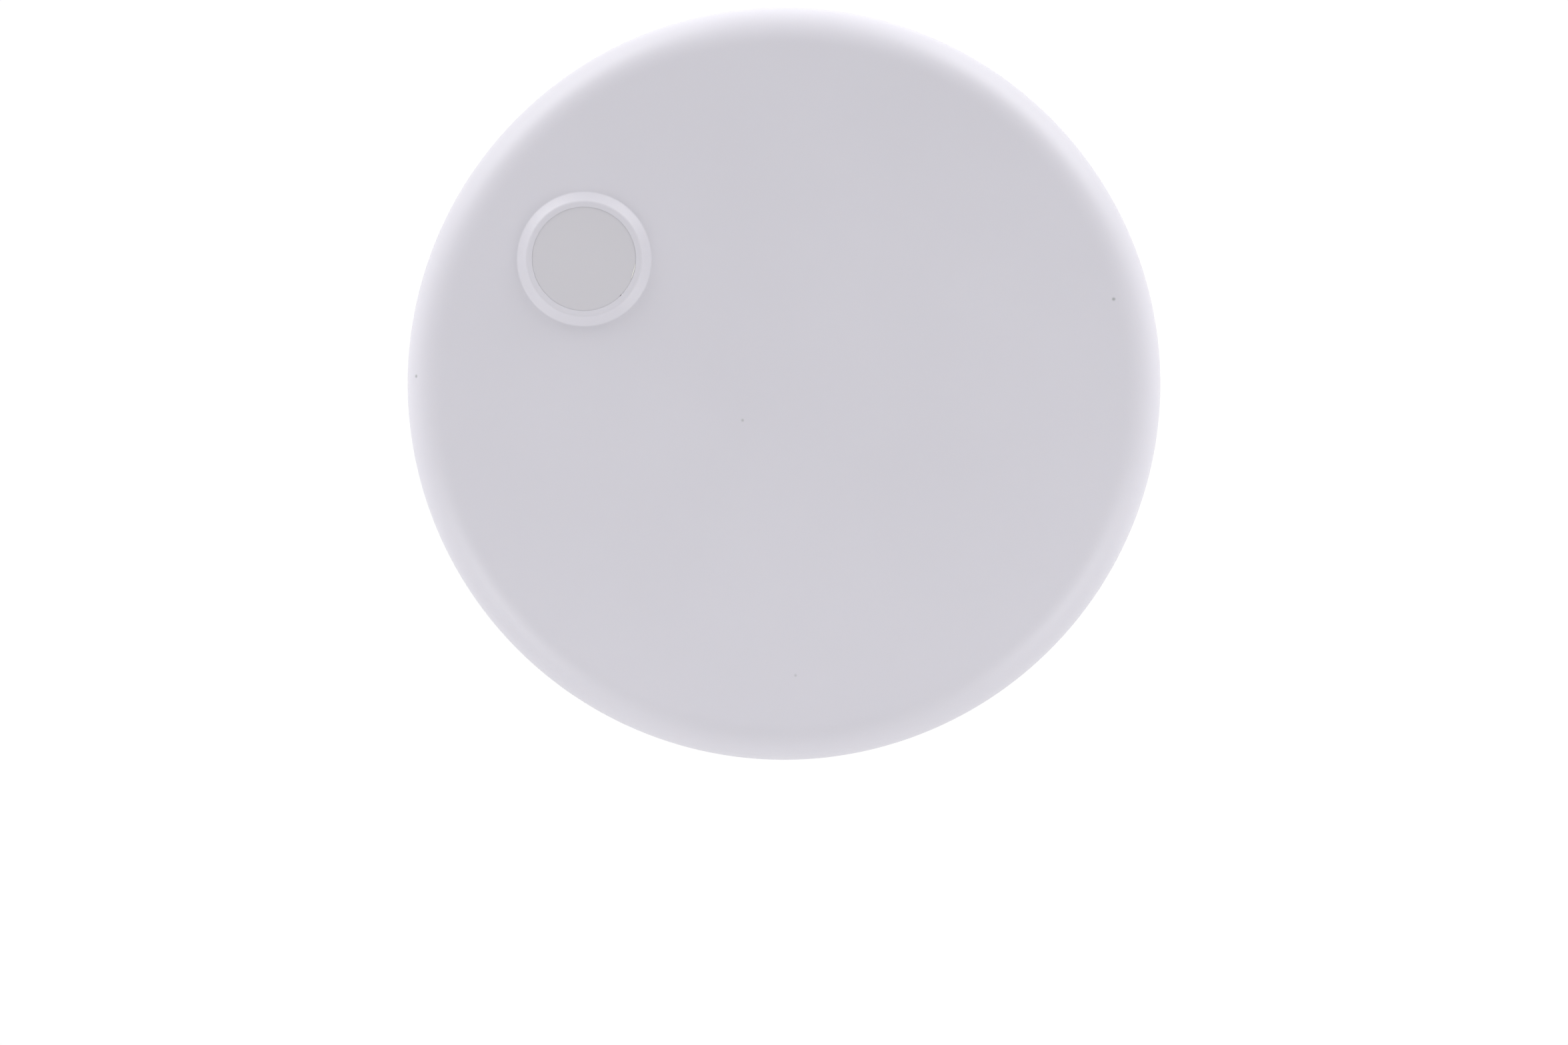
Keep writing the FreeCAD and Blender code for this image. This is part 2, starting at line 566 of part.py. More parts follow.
def rear_housing():
    body = new_body("rear_housing_body")
    outline = new_sketch(body, "housing_outline")
    draw_circle(outline, disc_radius)
    blank = pad(body, "housing_blank", outline, "parting_height")
    back_edge = ring_edges(blank.Shape, "0", "0", "0", disc_radius)
    rounded = fillet(body, "housing_back_edge", blank, back_edge, "back_edge_radius")
    parting_edge = ring_edges(rounded.Shape, "0", "0", "parting_height", disc_radius)
    fillet(body, "housing_parting_edge", rounded, parting_edge, "skirt_edge_radius")
    spigot = new_sketch(body, "spigot_outline", "parting_height / 2")
    draw_circle(spigot, spigot_outer)
    pad(body, "spigot", spigot, "parting_height / 2 + spigot_length")
    hollow = new_sketch(body, "housing_hollow", back_wall)
    draw_circle(hollow, housing_inner)
    pocket(body, "housing_dish", hollow, f"parting_height + spigot_length - {back_wall}")

    # battery bay, and the rails that the door's runners slide in
    rail_low_y = f"(-sqrt(({housing_inner} + rail_rim_overlap)^2 - {rail_half}^2))"
    rails = new_sketch(body, "rail_outline", back_wall)
    draw_rectangle(
        rails, f"-{rail_half}", rail_half, rail_low_y, f"{door_top} + door_side_clearance + bay_wall"
    )
    pad(body, "rail_block", rails, f"{groove_high} + rail_floor - {back_wall}")
    bay = new_sketch(body, "bay_outline", back_wall)
    draw_rectangle(
        bay,
        f"-({bay_half} + bay_wall)",
        f"{bay_half} + bay_wall",
        f"{bay_bottom} - bay_wall",
        f"{bay_top} + bay_wall",
    )
    pad(body, "bay_block", bay, f"{bay_floor_high} - {back_wall}")

    # screw columns, and the chimney that leads air to the sensor
    columns = new_sketch(body, "column_outlines", back_wall)
    for x, y in screw_places:
        draw_circle(columns, column_radius, x, y)
    pad(body, "screw_columns", columns, f"{board_low} - {back_wall}")
    chimney = new_sketch(body, "chimney_outline", back_wall)
    draw_rectangle(chimney, *centred(sensor_x, sensor_y, chimney_outer, chimney_outer))
    pad(body, "chimney", chimney, f"{chimney_high} - {back_wall}")
    flue = new_sketch(body, "flue_outline", back_wall)
    draw_rectangle(flue, *centred(sensor_x, sensor_y, "chimney_inner", "chimney_inner"))
    pocket(body, "flue", flue, f"{chimney_high} - {back_wall}")
    vents = new_sketch(body, "vent_outlines")
    for step in (-1, 0, 1):
        draw_rectangle(
            vents, *centred(sensor_x, f"({sensor_y} + {step} * vent_pitch)", "vent_length", "vent_width")
        )
    pocket(body, "vents", vents, back_wall)

    # opening and grooves for the door, then the bay itself
    past_rim = f"(-{disc_radius} - 1)"
    opening_half = f"({door_half} + door_side_clearance)"
    opening_top = f"({door_top} + door_side_clearance)"
    opening = new_sketch(body, "door_opening_outline")
    draw_rectangle(opening, f"-{opening_half}", opening_half, past_rim, opening_top)
    pocket(body, "door_opening", opening, back_wall)
    groove = new_sketch(body, "groove_outline", back_wall)
    draw_rectangle(groove, f"-{groove_half}", groove_half, past_rim, f"{runner_top} + door_side_clearance")
    pocket(body, "runner_groove", groove, f"{groove_high} - {back_wall}")
    cells = new_sketch(body, "bay_hollow_outline", back_wall)
    draw_rectangle(cells, f"-{bay_half}", bay_half, bay_bottom, bay_top)
    pocket(body, "bay_hollow", cells, f"{bay_floor_low} - {back_wall}")
    tails = new_sketch(body, "tail_slot_outlines", bay_floor_low)
    for side in (-1, 1):
        draw_rectangle(tails, *tail_slot(side))
    pocket(body, "tail_slots", tails, "bay_wall")

    # screw holes, stepped from the back, and seats for the front cover's bosses
    heads = new_sketch(body, "head_outlines")
    shanks = new_sketch(body, "shank_outlines", "screw_seat")
    seats = new_sketch(body, "boss_seat_outlines", "boss_seat")
    for x, y in screw_places:
        draw_circle(heads, "head_radius + head_clearance", x, y)
        draw_circle(shanks, f"{thread_radius} + shank_hole_clearance", x, y)
        draw_circle(seats, boss_hole, x, y)
    pocket(body, "head_holes", heads, "screw_seat")
    pocket(body, "shank_holes", shanks, "boss_seat - screw_seat")
    pocket(body, "boss_seats", seats, f"{board_low} - boss_seat")

    # keyhole: a round entry with a narrower slot above it
    entry = new_sketch(body, "keyhole_outline")
    draw_circle(entry, "keyhole_radius", "0", keyhole_up)
    pocket(body, "keyhole_entry", entry, back_wall)
    slot = new_sketch(body, "keyhole_slot_outline")
    draw_rectangle(slot, "-keyhole_slot_radius", "keyhole_slot_radius", keyhole_up, keyhole_end_up)
    pocket(body, "keyhole_slot", slot, back_wall)
    slot_end = new_sketch(body, "keyhole_end_outline")
    draw_circle(slot_end, "keyhole_slot_radius", "0", keyhole_end_up)
    pocket(body, "keyhole_end", slot_end, back_wall)
    return stand_up(body, "rear_housing")


def tail_slot(side):
    """Corners of the slot that a contact's tail passes through, at the bay's top end."""
    middle = f"({side} * {cell_side})"
    return (
        f"{middle} - contact_tail / 2 - tail_slot_clearance",
        f"{middle} + contact_tail / 2 + tail_slot_clearance",
        f"{bay_top} - contact_thickness - tail_slot_clearance",
        bay_top,
    )


def battery_door():
    body = new_body("battery_door_body")
    outline = new_sketch(body, "door_disc_outline")
    draw_circle(outline, disc_radius)
    blank = pad(body, "door_disc", outline, runner_high)
    fillet(body, "door_rim", blank, ring_edges(blank.Shape, "0", "0", "0", disc_radius), "back_edge_radius")

    # everything outside the plate, and outside the runners in front of it, is cut away
    past_rim = f"({disc_radius} + 1)"
    plate = new_sketch(body, "plate_outline")
    draw_rectangle(plate, f"-{past_rim}", past_rim, f"-{past_rim}", past_rim)
    draw_rectangle(plate, f"-{door_half}", door_half, f"-{past_rim} + 0.5", door_top)
    pocket(body, "plate_sides", plate, runner_low)
    runner_half = f"({door_half} + runner_reach)"
    runners = new_sketch(body, "runner_outline", runner_low)
    draw_rectangle(runners, f"-{past_rim}", past_rim, f"-{past_rim}", past_rim)
    draw_rectangle(runners, f"-{runner_half}", runner_half, f"-{past_rim} + 0.5", runner_top)
    pocket(body, "runner_sides", runners, "runner_height")
    top_skin = new_sketch(body, "plate_top_outline", "door_thickness")
    draw_rectangle(top_skin, f"-{past_rim}", past_rim, runner_top, past_rim)
    pocket(body, "plate_top_end", top_skin, f"{runner_low} - door_thickness")
    hollow = new_sketch(body, "door_hollow_outline", "door_thickness")
    hollow_half = f"({bay_half} - runner_bite)"
    draw_rectangle(hollow, f"-{hollow_half}", hollow_half, f"{bay_bottom} - door_foot_setback", past_rim)
    pocket(body, "door_hollow", hollow, f"{runner_high} - door_thickness")

    # thumb grip with ribs, and an arrow that says which way it slides
    grip = new_sketch(body, "grip_outline")
    draw_rectangle(grip, *centred("0", "grip_above_centre", "grip_width", "grip_height"))
    dished = pocket(body, "grip_dish", grip, "grip_depth")
    corners = [
        (f"{sx} * grip_width / 2", f"grip_above_centre + {sy} * grip_height / 2")
        for sx in (-1, 1)
        for sy in (-1, 1)
    ]
    fillet(body, "grip_corners", dished, upright_edges(dished.Shape, corners), "grip_corner_radius")
    rib_length = "(grip_width - 2 * grip_corner_radius)"
    ribs = new_sketch(body, "grip_rib_outlines", "grip_rib_inset")
    for step in (-1, 0, 1):
        rib_up = f"(grip_above_centre + {step} * grip_rib_pitch)"
        draw_rectangle(ribs, *centred("0", rib_up, rib_length, "grip_rib"))
    pad(body, "grip_ribs", ribs, "grip_depth")
    arrow_high = "(grip_above_centre - grip_height / 2 - arrow_gap)"
    arrow = new_sketch(body, "arrow_outline")
    draw_polygon(
        arrow,
        [
            ("-arrow_width / 2", arrow_high),
            ("0", f"{arrow_high} - arrow_height"),
            ("arrow_width / 2", arrow_high),
        ],
    )
    pocket(body, "arrow", arrow, "arrow_depth")
    return stand_up(body, "battery_door")


def case_screws():
    """Four self-tapping screws, driven from the back."""
    seat, tall = number("screw_seat"), number("head_height")
    back = seat - tall
    head = Part.makeCylinder(number("head_radius"), tall, Vector(0, 0, back))
    core, crest, pitch = number("shank_radius"), number(thread_radius), number("thread_pitch")
    length = number("shank_length")
    tip = seat + length
    profile = [(0, back + tall / 2), (core, back + tall / 2)]
    for k in range(int(length / pitch) - 2):
        ridge = seat + pitch * (k + 1)
        profile += [(core, ridge - 0.4 * pitch), (crest, ridge), (core, ridge + 0.4 * pitch)]
    profile += [(core, tip - core), (0, tip)]
    outline = Part.makePolygon([Vector(radius, 0, z) for radius, z in profile + profile[:1]])
    shank = Part.Face(outline).revolve(Vector(0, 0, 0), Vector(0, 0, 1), 360)
    screw = head.fuse(shank)
    width, span, depth = number("recess_width"), number("recess_length"), number("recess_depth")
    for along, across in ((span, width), (width, span)):
        screw = screw.cut(Part.makeBox(along, across, depth, Vector(-along / 2, -across / 2, back)))
    screw = screw.removeSplitter()
    copies = []
    for x, y in screw_places:
        copy = screw.copy()
        copy.translate(Vector(number(x), number(y), 0))
        copies.append(copy)
    return stand_up(made_of("case_screws_shape", Part.makeCompound(copies)), "case_screws")


# Button and switch


def button_cap():
    body = new_body("button_cap_body")
    top = f"({face} + button_rise)"
    disc = new_sketch(body, "cap_outline", flange_low)
    draw_circle(disc, "button_radius", button_x, button_y)
    pad(body, "cap_disc", disc, f"{top} - {flange_low}")
    flange = new_sketch(body, "cap_flange_outline", flange_low)
    draw_circle(flange, flange_radius, button_x, button_y)
    flanged = pad(body, "cap_flange", flange, "flange_thickness")
    cap_edge = ring_edges(flanged.Shape, button_x, button_y, top, "button_radius")
    fillet(body, "cap_edge", flanged, cap_edge, "button_edge_radius")
    hollow = new_sketch(body, "cap_hollow_outline", flange_low)
    draw_circle(hollow, "button_radius - button_skirt", button_x, button_y)
    draw_circle(hollow, "stem_radius", button_x, button_y)
    pocket(body, "cap_hollow", hollow, f"{top} - button_roof - {flange_low}")
    stem = new_sketch(body, "cap_stem_outline", plunger_top)
    draw_circle(stem, "stem_radius", button_x, button_y)
    pad(body, "cap_stem", stem, f"{top} - button_roof / 2 - {plunger_top}")
    return stand_up(body, "button_cap")


def switch_parts():
    x, y = button_x, button_y
    half = "switch_width / 2"
    cavity = "(plunger_radius + plunger_flange + plunger_clearance)"
    corners = (f"{x} - {half}", f"{x} + {half}", f"{y} - {half}", f"{y} + {half}")
    base = without(
        "switch_base_cut",
        box("switch_block", *corners, board_high, switch_high),
        rod("switch_cavity", cavity, x, y, f"{board_high} + switch_floor", f"{switch_high} + 1"),
    )
    stand_up(base, "switch_base")
    inset = [f"{c} {sign} switch_plate_inset" for c, sign in zip(corners, "+-+-")]
    plate = without(
        "switch_plate_cut",
        box("switch_plate_blank", *inset, switch_high, plate_high),
        rod(
            "switch_plate_hole",
            "plunger_radius + plunger_clearance",
            x,
            y,
            f"{switch_high} - 1",
            f"{plate_high} + 1",
        ),
    )
    stand_up(plate, "switch_cover")
    flange_top = f"({switch_high} - plunger_clearance)"
    plunger = fused(
        "plunger_fused",
        rod("plunger_pin", "plunger_radius", x, y, f"{flange_top} - plunger_flange_height", plunger_top),
        rod(
            "plunger_disc",
            "plunger_radius + plunger_flange",
            x,
            y,
            f"{flange_top} - plunger_flange_height",
            flange_top,
        ),
    )
    stand_up(plunger, "switch_plunger")
    legs = []
    for sx in (-1, 1):
        for sy in (-1, 1):
            low_x = number(x) + sx * number(half)
            low_y = number(y) + sy * number(half) * 0.75 - number("leg_width") / 2
            reach = number("leg_reach")
            leg = Part.makeBox(
                reach,
                number("leg_width"),
                number("leg_thickness"),
                Vector(low_x - (reach if sx < 0 else 0), low_y, number(board_high)),
            )
            legs.append(leg)
    stand_up(made_of("switch_legs_shape", Part.makeCompound(legs)), "switch_legs")


# Battery bay


def cells():
    """Two AAA cells, head to tail, each a steel can in a plastic sleeve."""
    for name, side in (("left_cell", -1), ("right_cell", 1)):
        x = f"({side} * {cell_side})"
        # the left cell's positive end is up, and the right one's is down
        if side < 0:
            positive = f"({bay_top} - contact_thickness)"
            negative = f"({positive} - cell_length)"
            shoulder = f"({positive} - nub_height)"
            can_ends = (negative, shoulder)
            nub_ends = (shoulder, positive)
        else:
            positive = f"({bay_bottom} + contact_thickness)"
            negative = f"({positive} + cell_length)"
            shoulder = f"({positive} + nub_height)"
            can_ends = (shoulder, negative)
            nub_ends = (positive, shoulder)
        can_radius = "(cell_diameter / 2 - sleeve_thickness)"
        can = fused(
            f"{name}_can_fused",
            cell_rod(f"{name}_can_tube", can_radius, x, *can_ends),
            cell_rod(f"{name}_nub", "nub_radius", x, *nub_ends),
        )
        stand_up(can, f"{name}_can")
        sleeve_ends = (f"{can_ends[0]} + crimp_inset", f"{can_ends[1]} - crimp_inset")
        sleeve = without(
            f"{name}_sleeve_cut",
            cell_rod(f"{name}_sleeve_outer", "cell_diameter / 2", x, *sleeve_ends),
            cell_rod(f"{name}_sleeve_inner", can_radius, x, *can_ends),
        )
        stand_up(sleeve, f"{name}_sleeve")


def contact_strips():
    """Flat strips at the bay's ends: one for each cell at the top, and a bridge at the bottom."""
    low = f"({groove_high} + contact_inset)"
    high = f"({bay_floor_low} - cell_clearance)"
    strip_ends = (f"{bay_top} - contact_thickness", bay_top)
    for name, side in (("positive_contact", -1), ("negative_contact", 1)):
        middle = f"({side} * {cell_side})"
        strip = fused(
            f"{name}_fused",
            box(
                f"{name}_strip",
                f"{middle} - contact_width / 2",
                f"{middle} + contact_width / 2",
                *strip_ends,
                low,
                high,
            ),
            box(
                f"{name}_tail",
                f"{middle} - contact_tail / 2",
                f"{middle} + contact_tail / 2",
                *strip_ends,
                high,
                f"{board_high} + leg_thickness",
            ),
        )
        stand_up(strip, name)
    block(
        "bridge_contact",
        f"-{cell_side} - contact_width / 2",
        f"{cell_side} + contact_width / 2",
        bay_bottom,
        f"{bay_bottom} + contact_thickness",
        low,
        high,
    )


def biarc(start, start_way, end, end_way):
    """Two arcs that leave start and reach end along the given unit directions."""
    chord = end - start
    ways = start_way + end_way
    a = ways.dot(ways) - 4
    b = -2 * chord.dot(ways)
    c = chord.dot(chord)
    reach = (-b - math.sqrt(b * b - 4 * a * c)) / (2 * a)
    first = start + start_way * reach
    second = end - end_way * reach
    joint = (first + second) * 0.5
    return [arc_by_corner(start, first, joint), arc_by_corner(joint, second, end)]


def arc_by_corner(start, corner, end):
    """The arc from start to end whose end tangents meet at corner."""
    middle = (start + end) * 0.5
    to_corner = corner - start
    half_turn = math.acos((middle - start).Length / to_corner.Length)
    radius = to_corner.Length / math.tan(half_turn)
    towards = (middle - corner).normalize()
    crown = corner + towards * (radius / math.cos(half_turn) - radius)
    return Part.Arc(start, crown, end).toShape()


def conical_spring(base, way, side):
    """One unbroken wire about an axis along y, wide at base. way is 1 for up or -1 for down."""
    wire = number("spring_wire")
    half_turns = int(number("spring_half_turns"))
    quarters = 2 * half_turns
    rise = number("spring_length") - wire
    wide, narrow = number("spring_base_radius"), number("spring_tip_radius")
    sweep = math.pi * half_turns

    def point(t):
        radius = wide + (narrow - wide) * t
        angle = sweep * t
        return base + Vector(radius * math.cos(angle), way * (wire / 2 + rise * t), radius * math.sin(angle))

    def direction(t):
        step = 1e-5
        return (point(t + step) - point(t - step)).normalize()

    edges = []
    for k in range(quarters):
        t0, t1 = k / quarters, (k + 1) / quarters
        edges += biarc(point(t0), direction(t0), point(t1), direction(t1))
    path = Part.Wire(edges)
    ring = Part.Wire(Part.makeCircle(wire / 2, point(0), direction(0)))
    coil = path.makePipeShell([ring], True, False)
    samples = [point(k / 400) for k in range(401)]
    apart = int(400 / half_turns)
    gap = min((samples[i] - samples[j]).Length for i in range(401) for j in range(i + apart, 401)) - wire
    ideal = math.pi * wire**2 / 4 * path.Length
    print(f"{side} spring: least gap {gap:.2f} mm, share of the ideal volume {coil.Volume / ideal:.4f}")
    return coil


def springs():
    inward = number("contact_thickness")
    right = Vector(number(cell_side), number(bay_top) - inward, number(cell_axis))
    left = Vector(-number(cell_side), number(bay_bottom) + inward, number(cell_axis))
    stand_up(made_of("top_spring_shape", conical_spring(right, -1, "top")), "top_spring")
    stand_up(made_of("bottom_spring_shape", conical_spring(left, 1, "bottom")), "bottom_spring")


# Board and what it carries


def main_board():
    body = new_body("main_board_body")
    outline = new_sketch(body, "board_outline", board_low)
    draw_circle(outline, board_radius)
    pad(body, "board_blank", outline, "board_thickness")
    holes = new_sketch(body, "board_hole_outlines", board_low)
    for x, y in screw_places:
        draw_circle(holes, boss_hole, x, y)
    pocket(body, "board_holes", holes, "board_thickness")
    slots = new_sketch(body, "board_slot_outlines", board_low)
    for side in (-1, 1):
        draw_rectangle(slots, *tail_slot(side))
    # two slots keep the board's warmth from the sensor
    past = f"({chimney_outer} / 2 + isolation_gap)"
    draw_rectangle(
        slots,
        f"{sensor_x} + {past}",
        f"{sensor_x} + {past} + isolation_slot",
        f"{sensor_y} - {past}",
        f"{sensor_y} + {past}",
    )
    draw_rectangle(
        slots,
        f"{sensor_x} - {past}",
        f"{sensor_x} + {past} - isolation_gap",
        f"{sensor_y} - {past} - isolation_slot",
        f"{sensor_y} - {past}",
    )
    pocket(body, "board_slots", slots, "board_thickness")
    return stand_up(body, "main_board")


def dot_places():
    """Centres of the display's dots, row by row."""
    middle_x, middle_y = number(display_x), number(display_y)
    pitch = number("dot_pitch")
    columns, rows = int(number("dot_columns")), int(number("dot_rows"))
    return [
        (middle_x + (column - (columns - 1) / 2) * pitch, middle_y + (row - (rows - 1) / 2) * pitch)
        for row in range(rows)
        for column in range(columns)
    ]


def display_parts():
    low, high = number(board_high), number(film_low)
    well = number("dot_well")
    width, height = number(grid_width), number(grid_height)
    corner = Vector(number(display_x) - width / 2, number(display_y) - height / 2, low)
    blank = Part.makeBox(width, height, high - low, corner)
    wells = [
        Part.makeBox(well, well, high - low + 2, Vector(x - well / 2, y - well / 2, low - 1))
        for x, y in dot_places()
    ]
    stand_up(made_of("light_grid_shape", blank.cut(Part.makeCompound(wells))), "light_grid")
    long, wide, tall = number("lamp_length"), number("lamp_width"), number("lamp_height")
    lamps = [Part.makeBox(long, wide, tall, Vector(x - long / 2, y - wide / 2, low)) for x, y in dot_places()]
    stand_up(made_of("display_lamps_shape", Part.makeCompound(lamps)), "display_lamps")
    block("diffuser_film", *centred(display_x, display_y, grid_width, grid_height), film_low, window_high)


def sensor_parts():
    x, y = sensor_x, sensor_y
    sensor = without(
        "sensor_cut",
        box(
            "sensor_block",
            *centred(x, y, "sensor_width", "sensor_width"),
            f"{board_low} - sensor_height",
            board_low,
        ),
        rod(
            "sensor_port",
            "sensor_port_radius",
            x,
            y,
            f"{board_low} - sensor_height - 1",
            f"{board_low} - sensor_height + sensor_port_depth",
        ),
    )
    stand_up(sensor, "air_sensor")
    gasket = without(
        "gasket_cut",
        box("gasket_blank", *centred(x, y, chimney_outer, chimney_outer), chimney_high, board_low),
        box(
            "gasket_hole",
            *centred(x, y, "chimney_inner", "chimney_inner"),
            f"{chimney_high} - 1",
            f"{board_low} + 1",
        ),
    )
    stand_up(gasket, "sensor_gasket")
    width = "(chimney_inner - 2 * membrane_clearance)"
    block(
        "dust_filter",
        *centred(x, y, width, width),
        back_wall,
        f"{back_wall} + membrane_thickness",
    )


def radio_parts():
    low_x = f"({module_x} - module_width / 2)"
    high_x = f"({module_x} + module_width / 2)"
    low_y = "(-module_height / 2)"
    high_y = "(module_height / 2)"
    surface = f"({board_low} - module_board)"
    block("radio_board", low_x, high_x, low_y, high_y, surface, board_low)
    can_corners = (
        f"{low_x} + shield_margin",
        f"{high_x} - shield_margin",
        f"{low_y} + shield_margin",
        f"{high_y} - antenna_strip",
    )
    inside = [f"{c} {sign} shield_wall" for c, sign in zip(can_corners, "+-+-")]
    shield = without(
        "shield_cut",
        box("shield_block", *can_corners, f"{surface} - shield_height", surface),
        box("shield_hollow", *inside, f"{surface} - shield_height + shield_wall", f"{surface} + 1"),
    )
    stand_up(shield, "radio_shield")
    chip_half = "radio_chip_width / 2"
    chip_y = f"({low_y} + shield_margin + shield_wall + chip_gap + {chip_half})"
    block(
        "radio_chip",
        *centred(module_x, chip_y, "radio_chip_width", "radio_chip_width"),
        f"{surface} - radio_chip_height",
        surface,
    )
    crystal_y = f"({chip_y} + {chip_half} + chip_gap + crystal_width / 2)"
    block(
        "clock_crystal",
        *centred(module_x, crystal_y, "crystal_length", "crystal_width"),
        f"{surface} - crystal_height",
        surface,
    )
    block(
        "chip_antenna",
        *centred(module_x, f"({high_y} - antenna_strip / 2)", "antenna_length", "antenna_width"),
        f"{surface} - antenna_height",
        surface,
    )


def small_components():
    block(
        "display_driver",
        *centred("0", "driver_up", "driver_width", "driver_width"),
        f"{board_low} - driver_height",
        board_low,
    )
    width = "(2 * reservoir_radius)"
    foot = centred(sensor_x, "reservoir_up", width, width)
    reservoir = fused(
        "reservoir_fused",
        box("reservoir_base", *foot, f"{board_low} - reservoir_foot", board_low),
        rod(
            "reservoir_can",
            "reservoir_radius - reservoir_lip",
            sensor_x,
            "reservoir_up",
            f"{board_low} - reservoir_height",
            board_low,
        ),
    )
    stand_up(reservoir, "reservoir_capacitor")
    long, wide, tall = number("passive_length"), number("passive_width"), number("passive_height")
    low = number(board_low) - tall
    pitch = number("passive_pitch")
    right = number(f"{module_x} - module_width / 2 + passive_setback")
    up = number("module_height / 2 + passive_gap")
    blocks = [
        Part.makeBox(long, wide, tall, Vector(right + pitch * column, up + pitch * row, low))
        for row in range(int(number("passive_rows")))
        for column in range(int(number("passive_columns")))
    ]
    stand_up(made_of("board_passives_shape", Part.makeCompound(blocks)), "board_passives")


def write_parts():
    doc.recompute()
    for thing in doc.Objects:
        if "Invalid" in thing.State or "Error" in thing.State:
            raise RuntimeError(f"{thing.Name} failed: {thing.State}")
    for node in nodes:
        if node.Shape.isNull() or not node.Shape.isValid():
            raise RuntimeError(f"{node.Label} has no valid shape")
    os.makedirs("parts", exist_ok=True)
    for node in nodes:
        node.Shape.exportStep(f"parts/{node.Label}.step")
        print(f"{node.Label}: {len(node.Shape.Solids)} solid(s), {node.Shape.Volume:.1f} mm3")


front_cover()
rear_housing()
battery_door()
case_screws()
button_cap()
switch_parts()
cells()
contact_strips()
springs()
main_board()
display_parts()
sensor_parts()
radio_parts()
small_components()
write_parts()
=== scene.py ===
# A compact indoor weather station: a white puck with one push button, hung on a wall by its keyhole.
# The scene is in metres, and sizes are written in millimetres times mm.
# The puck's axis lies along Y, its face looks towards -Y, and Z is up.
import math

import bmesh
import bpy
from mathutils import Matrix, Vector


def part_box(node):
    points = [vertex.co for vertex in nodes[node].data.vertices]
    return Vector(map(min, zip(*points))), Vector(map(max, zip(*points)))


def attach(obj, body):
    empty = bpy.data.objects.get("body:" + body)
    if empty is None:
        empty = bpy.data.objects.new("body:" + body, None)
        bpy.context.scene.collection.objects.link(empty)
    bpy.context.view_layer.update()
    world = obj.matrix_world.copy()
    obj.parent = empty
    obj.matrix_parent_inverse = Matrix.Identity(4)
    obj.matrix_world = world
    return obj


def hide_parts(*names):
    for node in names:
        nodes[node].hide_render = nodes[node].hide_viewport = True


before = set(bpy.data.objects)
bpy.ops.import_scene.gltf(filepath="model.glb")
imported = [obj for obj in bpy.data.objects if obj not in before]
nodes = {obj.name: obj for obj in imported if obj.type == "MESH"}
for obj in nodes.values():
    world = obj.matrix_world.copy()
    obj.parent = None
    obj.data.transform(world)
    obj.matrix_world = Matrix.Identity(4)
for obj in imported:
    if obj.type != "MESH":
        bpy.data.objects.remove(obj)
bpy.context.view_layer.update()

mm = 0.001
weldDistance = 0.0001 * mm
grainStrength = 0.5
plasticSheenSpread = 0.06  # how far the roughness wanders either way
metalSheenSpread = 0.09
waveRate = 20  # a wave texture turns by this many radians in one unit
print("frame loaded:", len(nodes), "solids")


# Materials: colours are sRGB hex values, and pattern sizes are real ones in millimetres

def linearColour(hexCode):
    channels = [int(hexCode[i:i + 2], 16) / 255 for i in (0, 2, 4)]
    return [c / 12.92 if c <= 0.04045 else ((c + 0.055) / 1.055) ** 2.4 for c in channels] + [1.0]


def newMaterial(name, colour, roughness, metallic=0.0, extra=None):
    # a principled shader with its fixed values set on its own sockets
    material = bpy.data.materials.new(name)
    material.use_nodes = True
    shader = material.node_tree.nodes["Principled BSDF"]
    fixed = {"Base Color": linearColour(colour), "Roughness": roughness, "Metallic": metallic}
    fixed.update(extra or {})
    for socket, value in fixed.items():
        shader.inputs[socket].default_value = value
    return material, shader


def addNode(material, kind, values=None, links=None, **settings):
    # one node with its settings, its fixed inputs and what feeds the others
    node = material.node_tree.nodes.new(kind)
    for name, value in settings.items():
        setattr(node, name, value)
    for socket, value in (values or {}).items():
        node.inputs[socket].default_value = value
    for socket, source in (links or {}).items():
        material.node_tree.links.new(source, node.inputs[socket])
    return node


def joinNodes(material, source, shader, socket):
    material.node_tree.links.new(source, shader.inputs[socket])


def setRamp(ramp, stops):
    # colour stops as {position: hex value}
    elements = ramp.color_ramp.elements
    for index, (position, colour) in enumerate(sorted(stops.items())):
        element = elements[index] if index < 2 else elements.new(position)
        element.position = position
        element.color = linearColour(colour)


def perMetre(size):
    # texture scale for a feature of this many millimetres
    return 1 / (size * mm)


def addFlecks(material, place, base, every, size, share, colour, softness=0.1):
    # small spots in the surface, some of them left out at random
    cell = addNode(material, "ShaderNodeTexVoronoi", {"Scale": perMetre(every)}, {"Vector": place})
    edge = {"From Min": size * (1 - softness) / every, "From Max": size / every, "To Min": 1.0, "To Max": 0.0}
    near = addNode(material, "ShaderNodeMapRange", edge, {"Value": cell.outputs["Distance"]},
                   interpolation_type="SMOOTHSTEP")
    tone = addNode(material, "ShaderNodeSeparateColor", links={"Color": cell.outputs["Color"]})
    chosen = addNode(material, "ShaderNodeMath", {1: share}, {0: tone.outputs["Red"]}, operation="LESS_THAN")
    fleck = addNode(material, "ShaderNodeMath", links={0: near.outputs["Result"], 1: chosen.outputs[0]},
                    operation="MULTIPLY")
    spotted = addNode(material, "ShaderNodeMix", {7: linearColour(colour)}, {0: fleck.outputs[0], 6: base},
                      data_type="RGBA")
    return spotted.outputs[2]


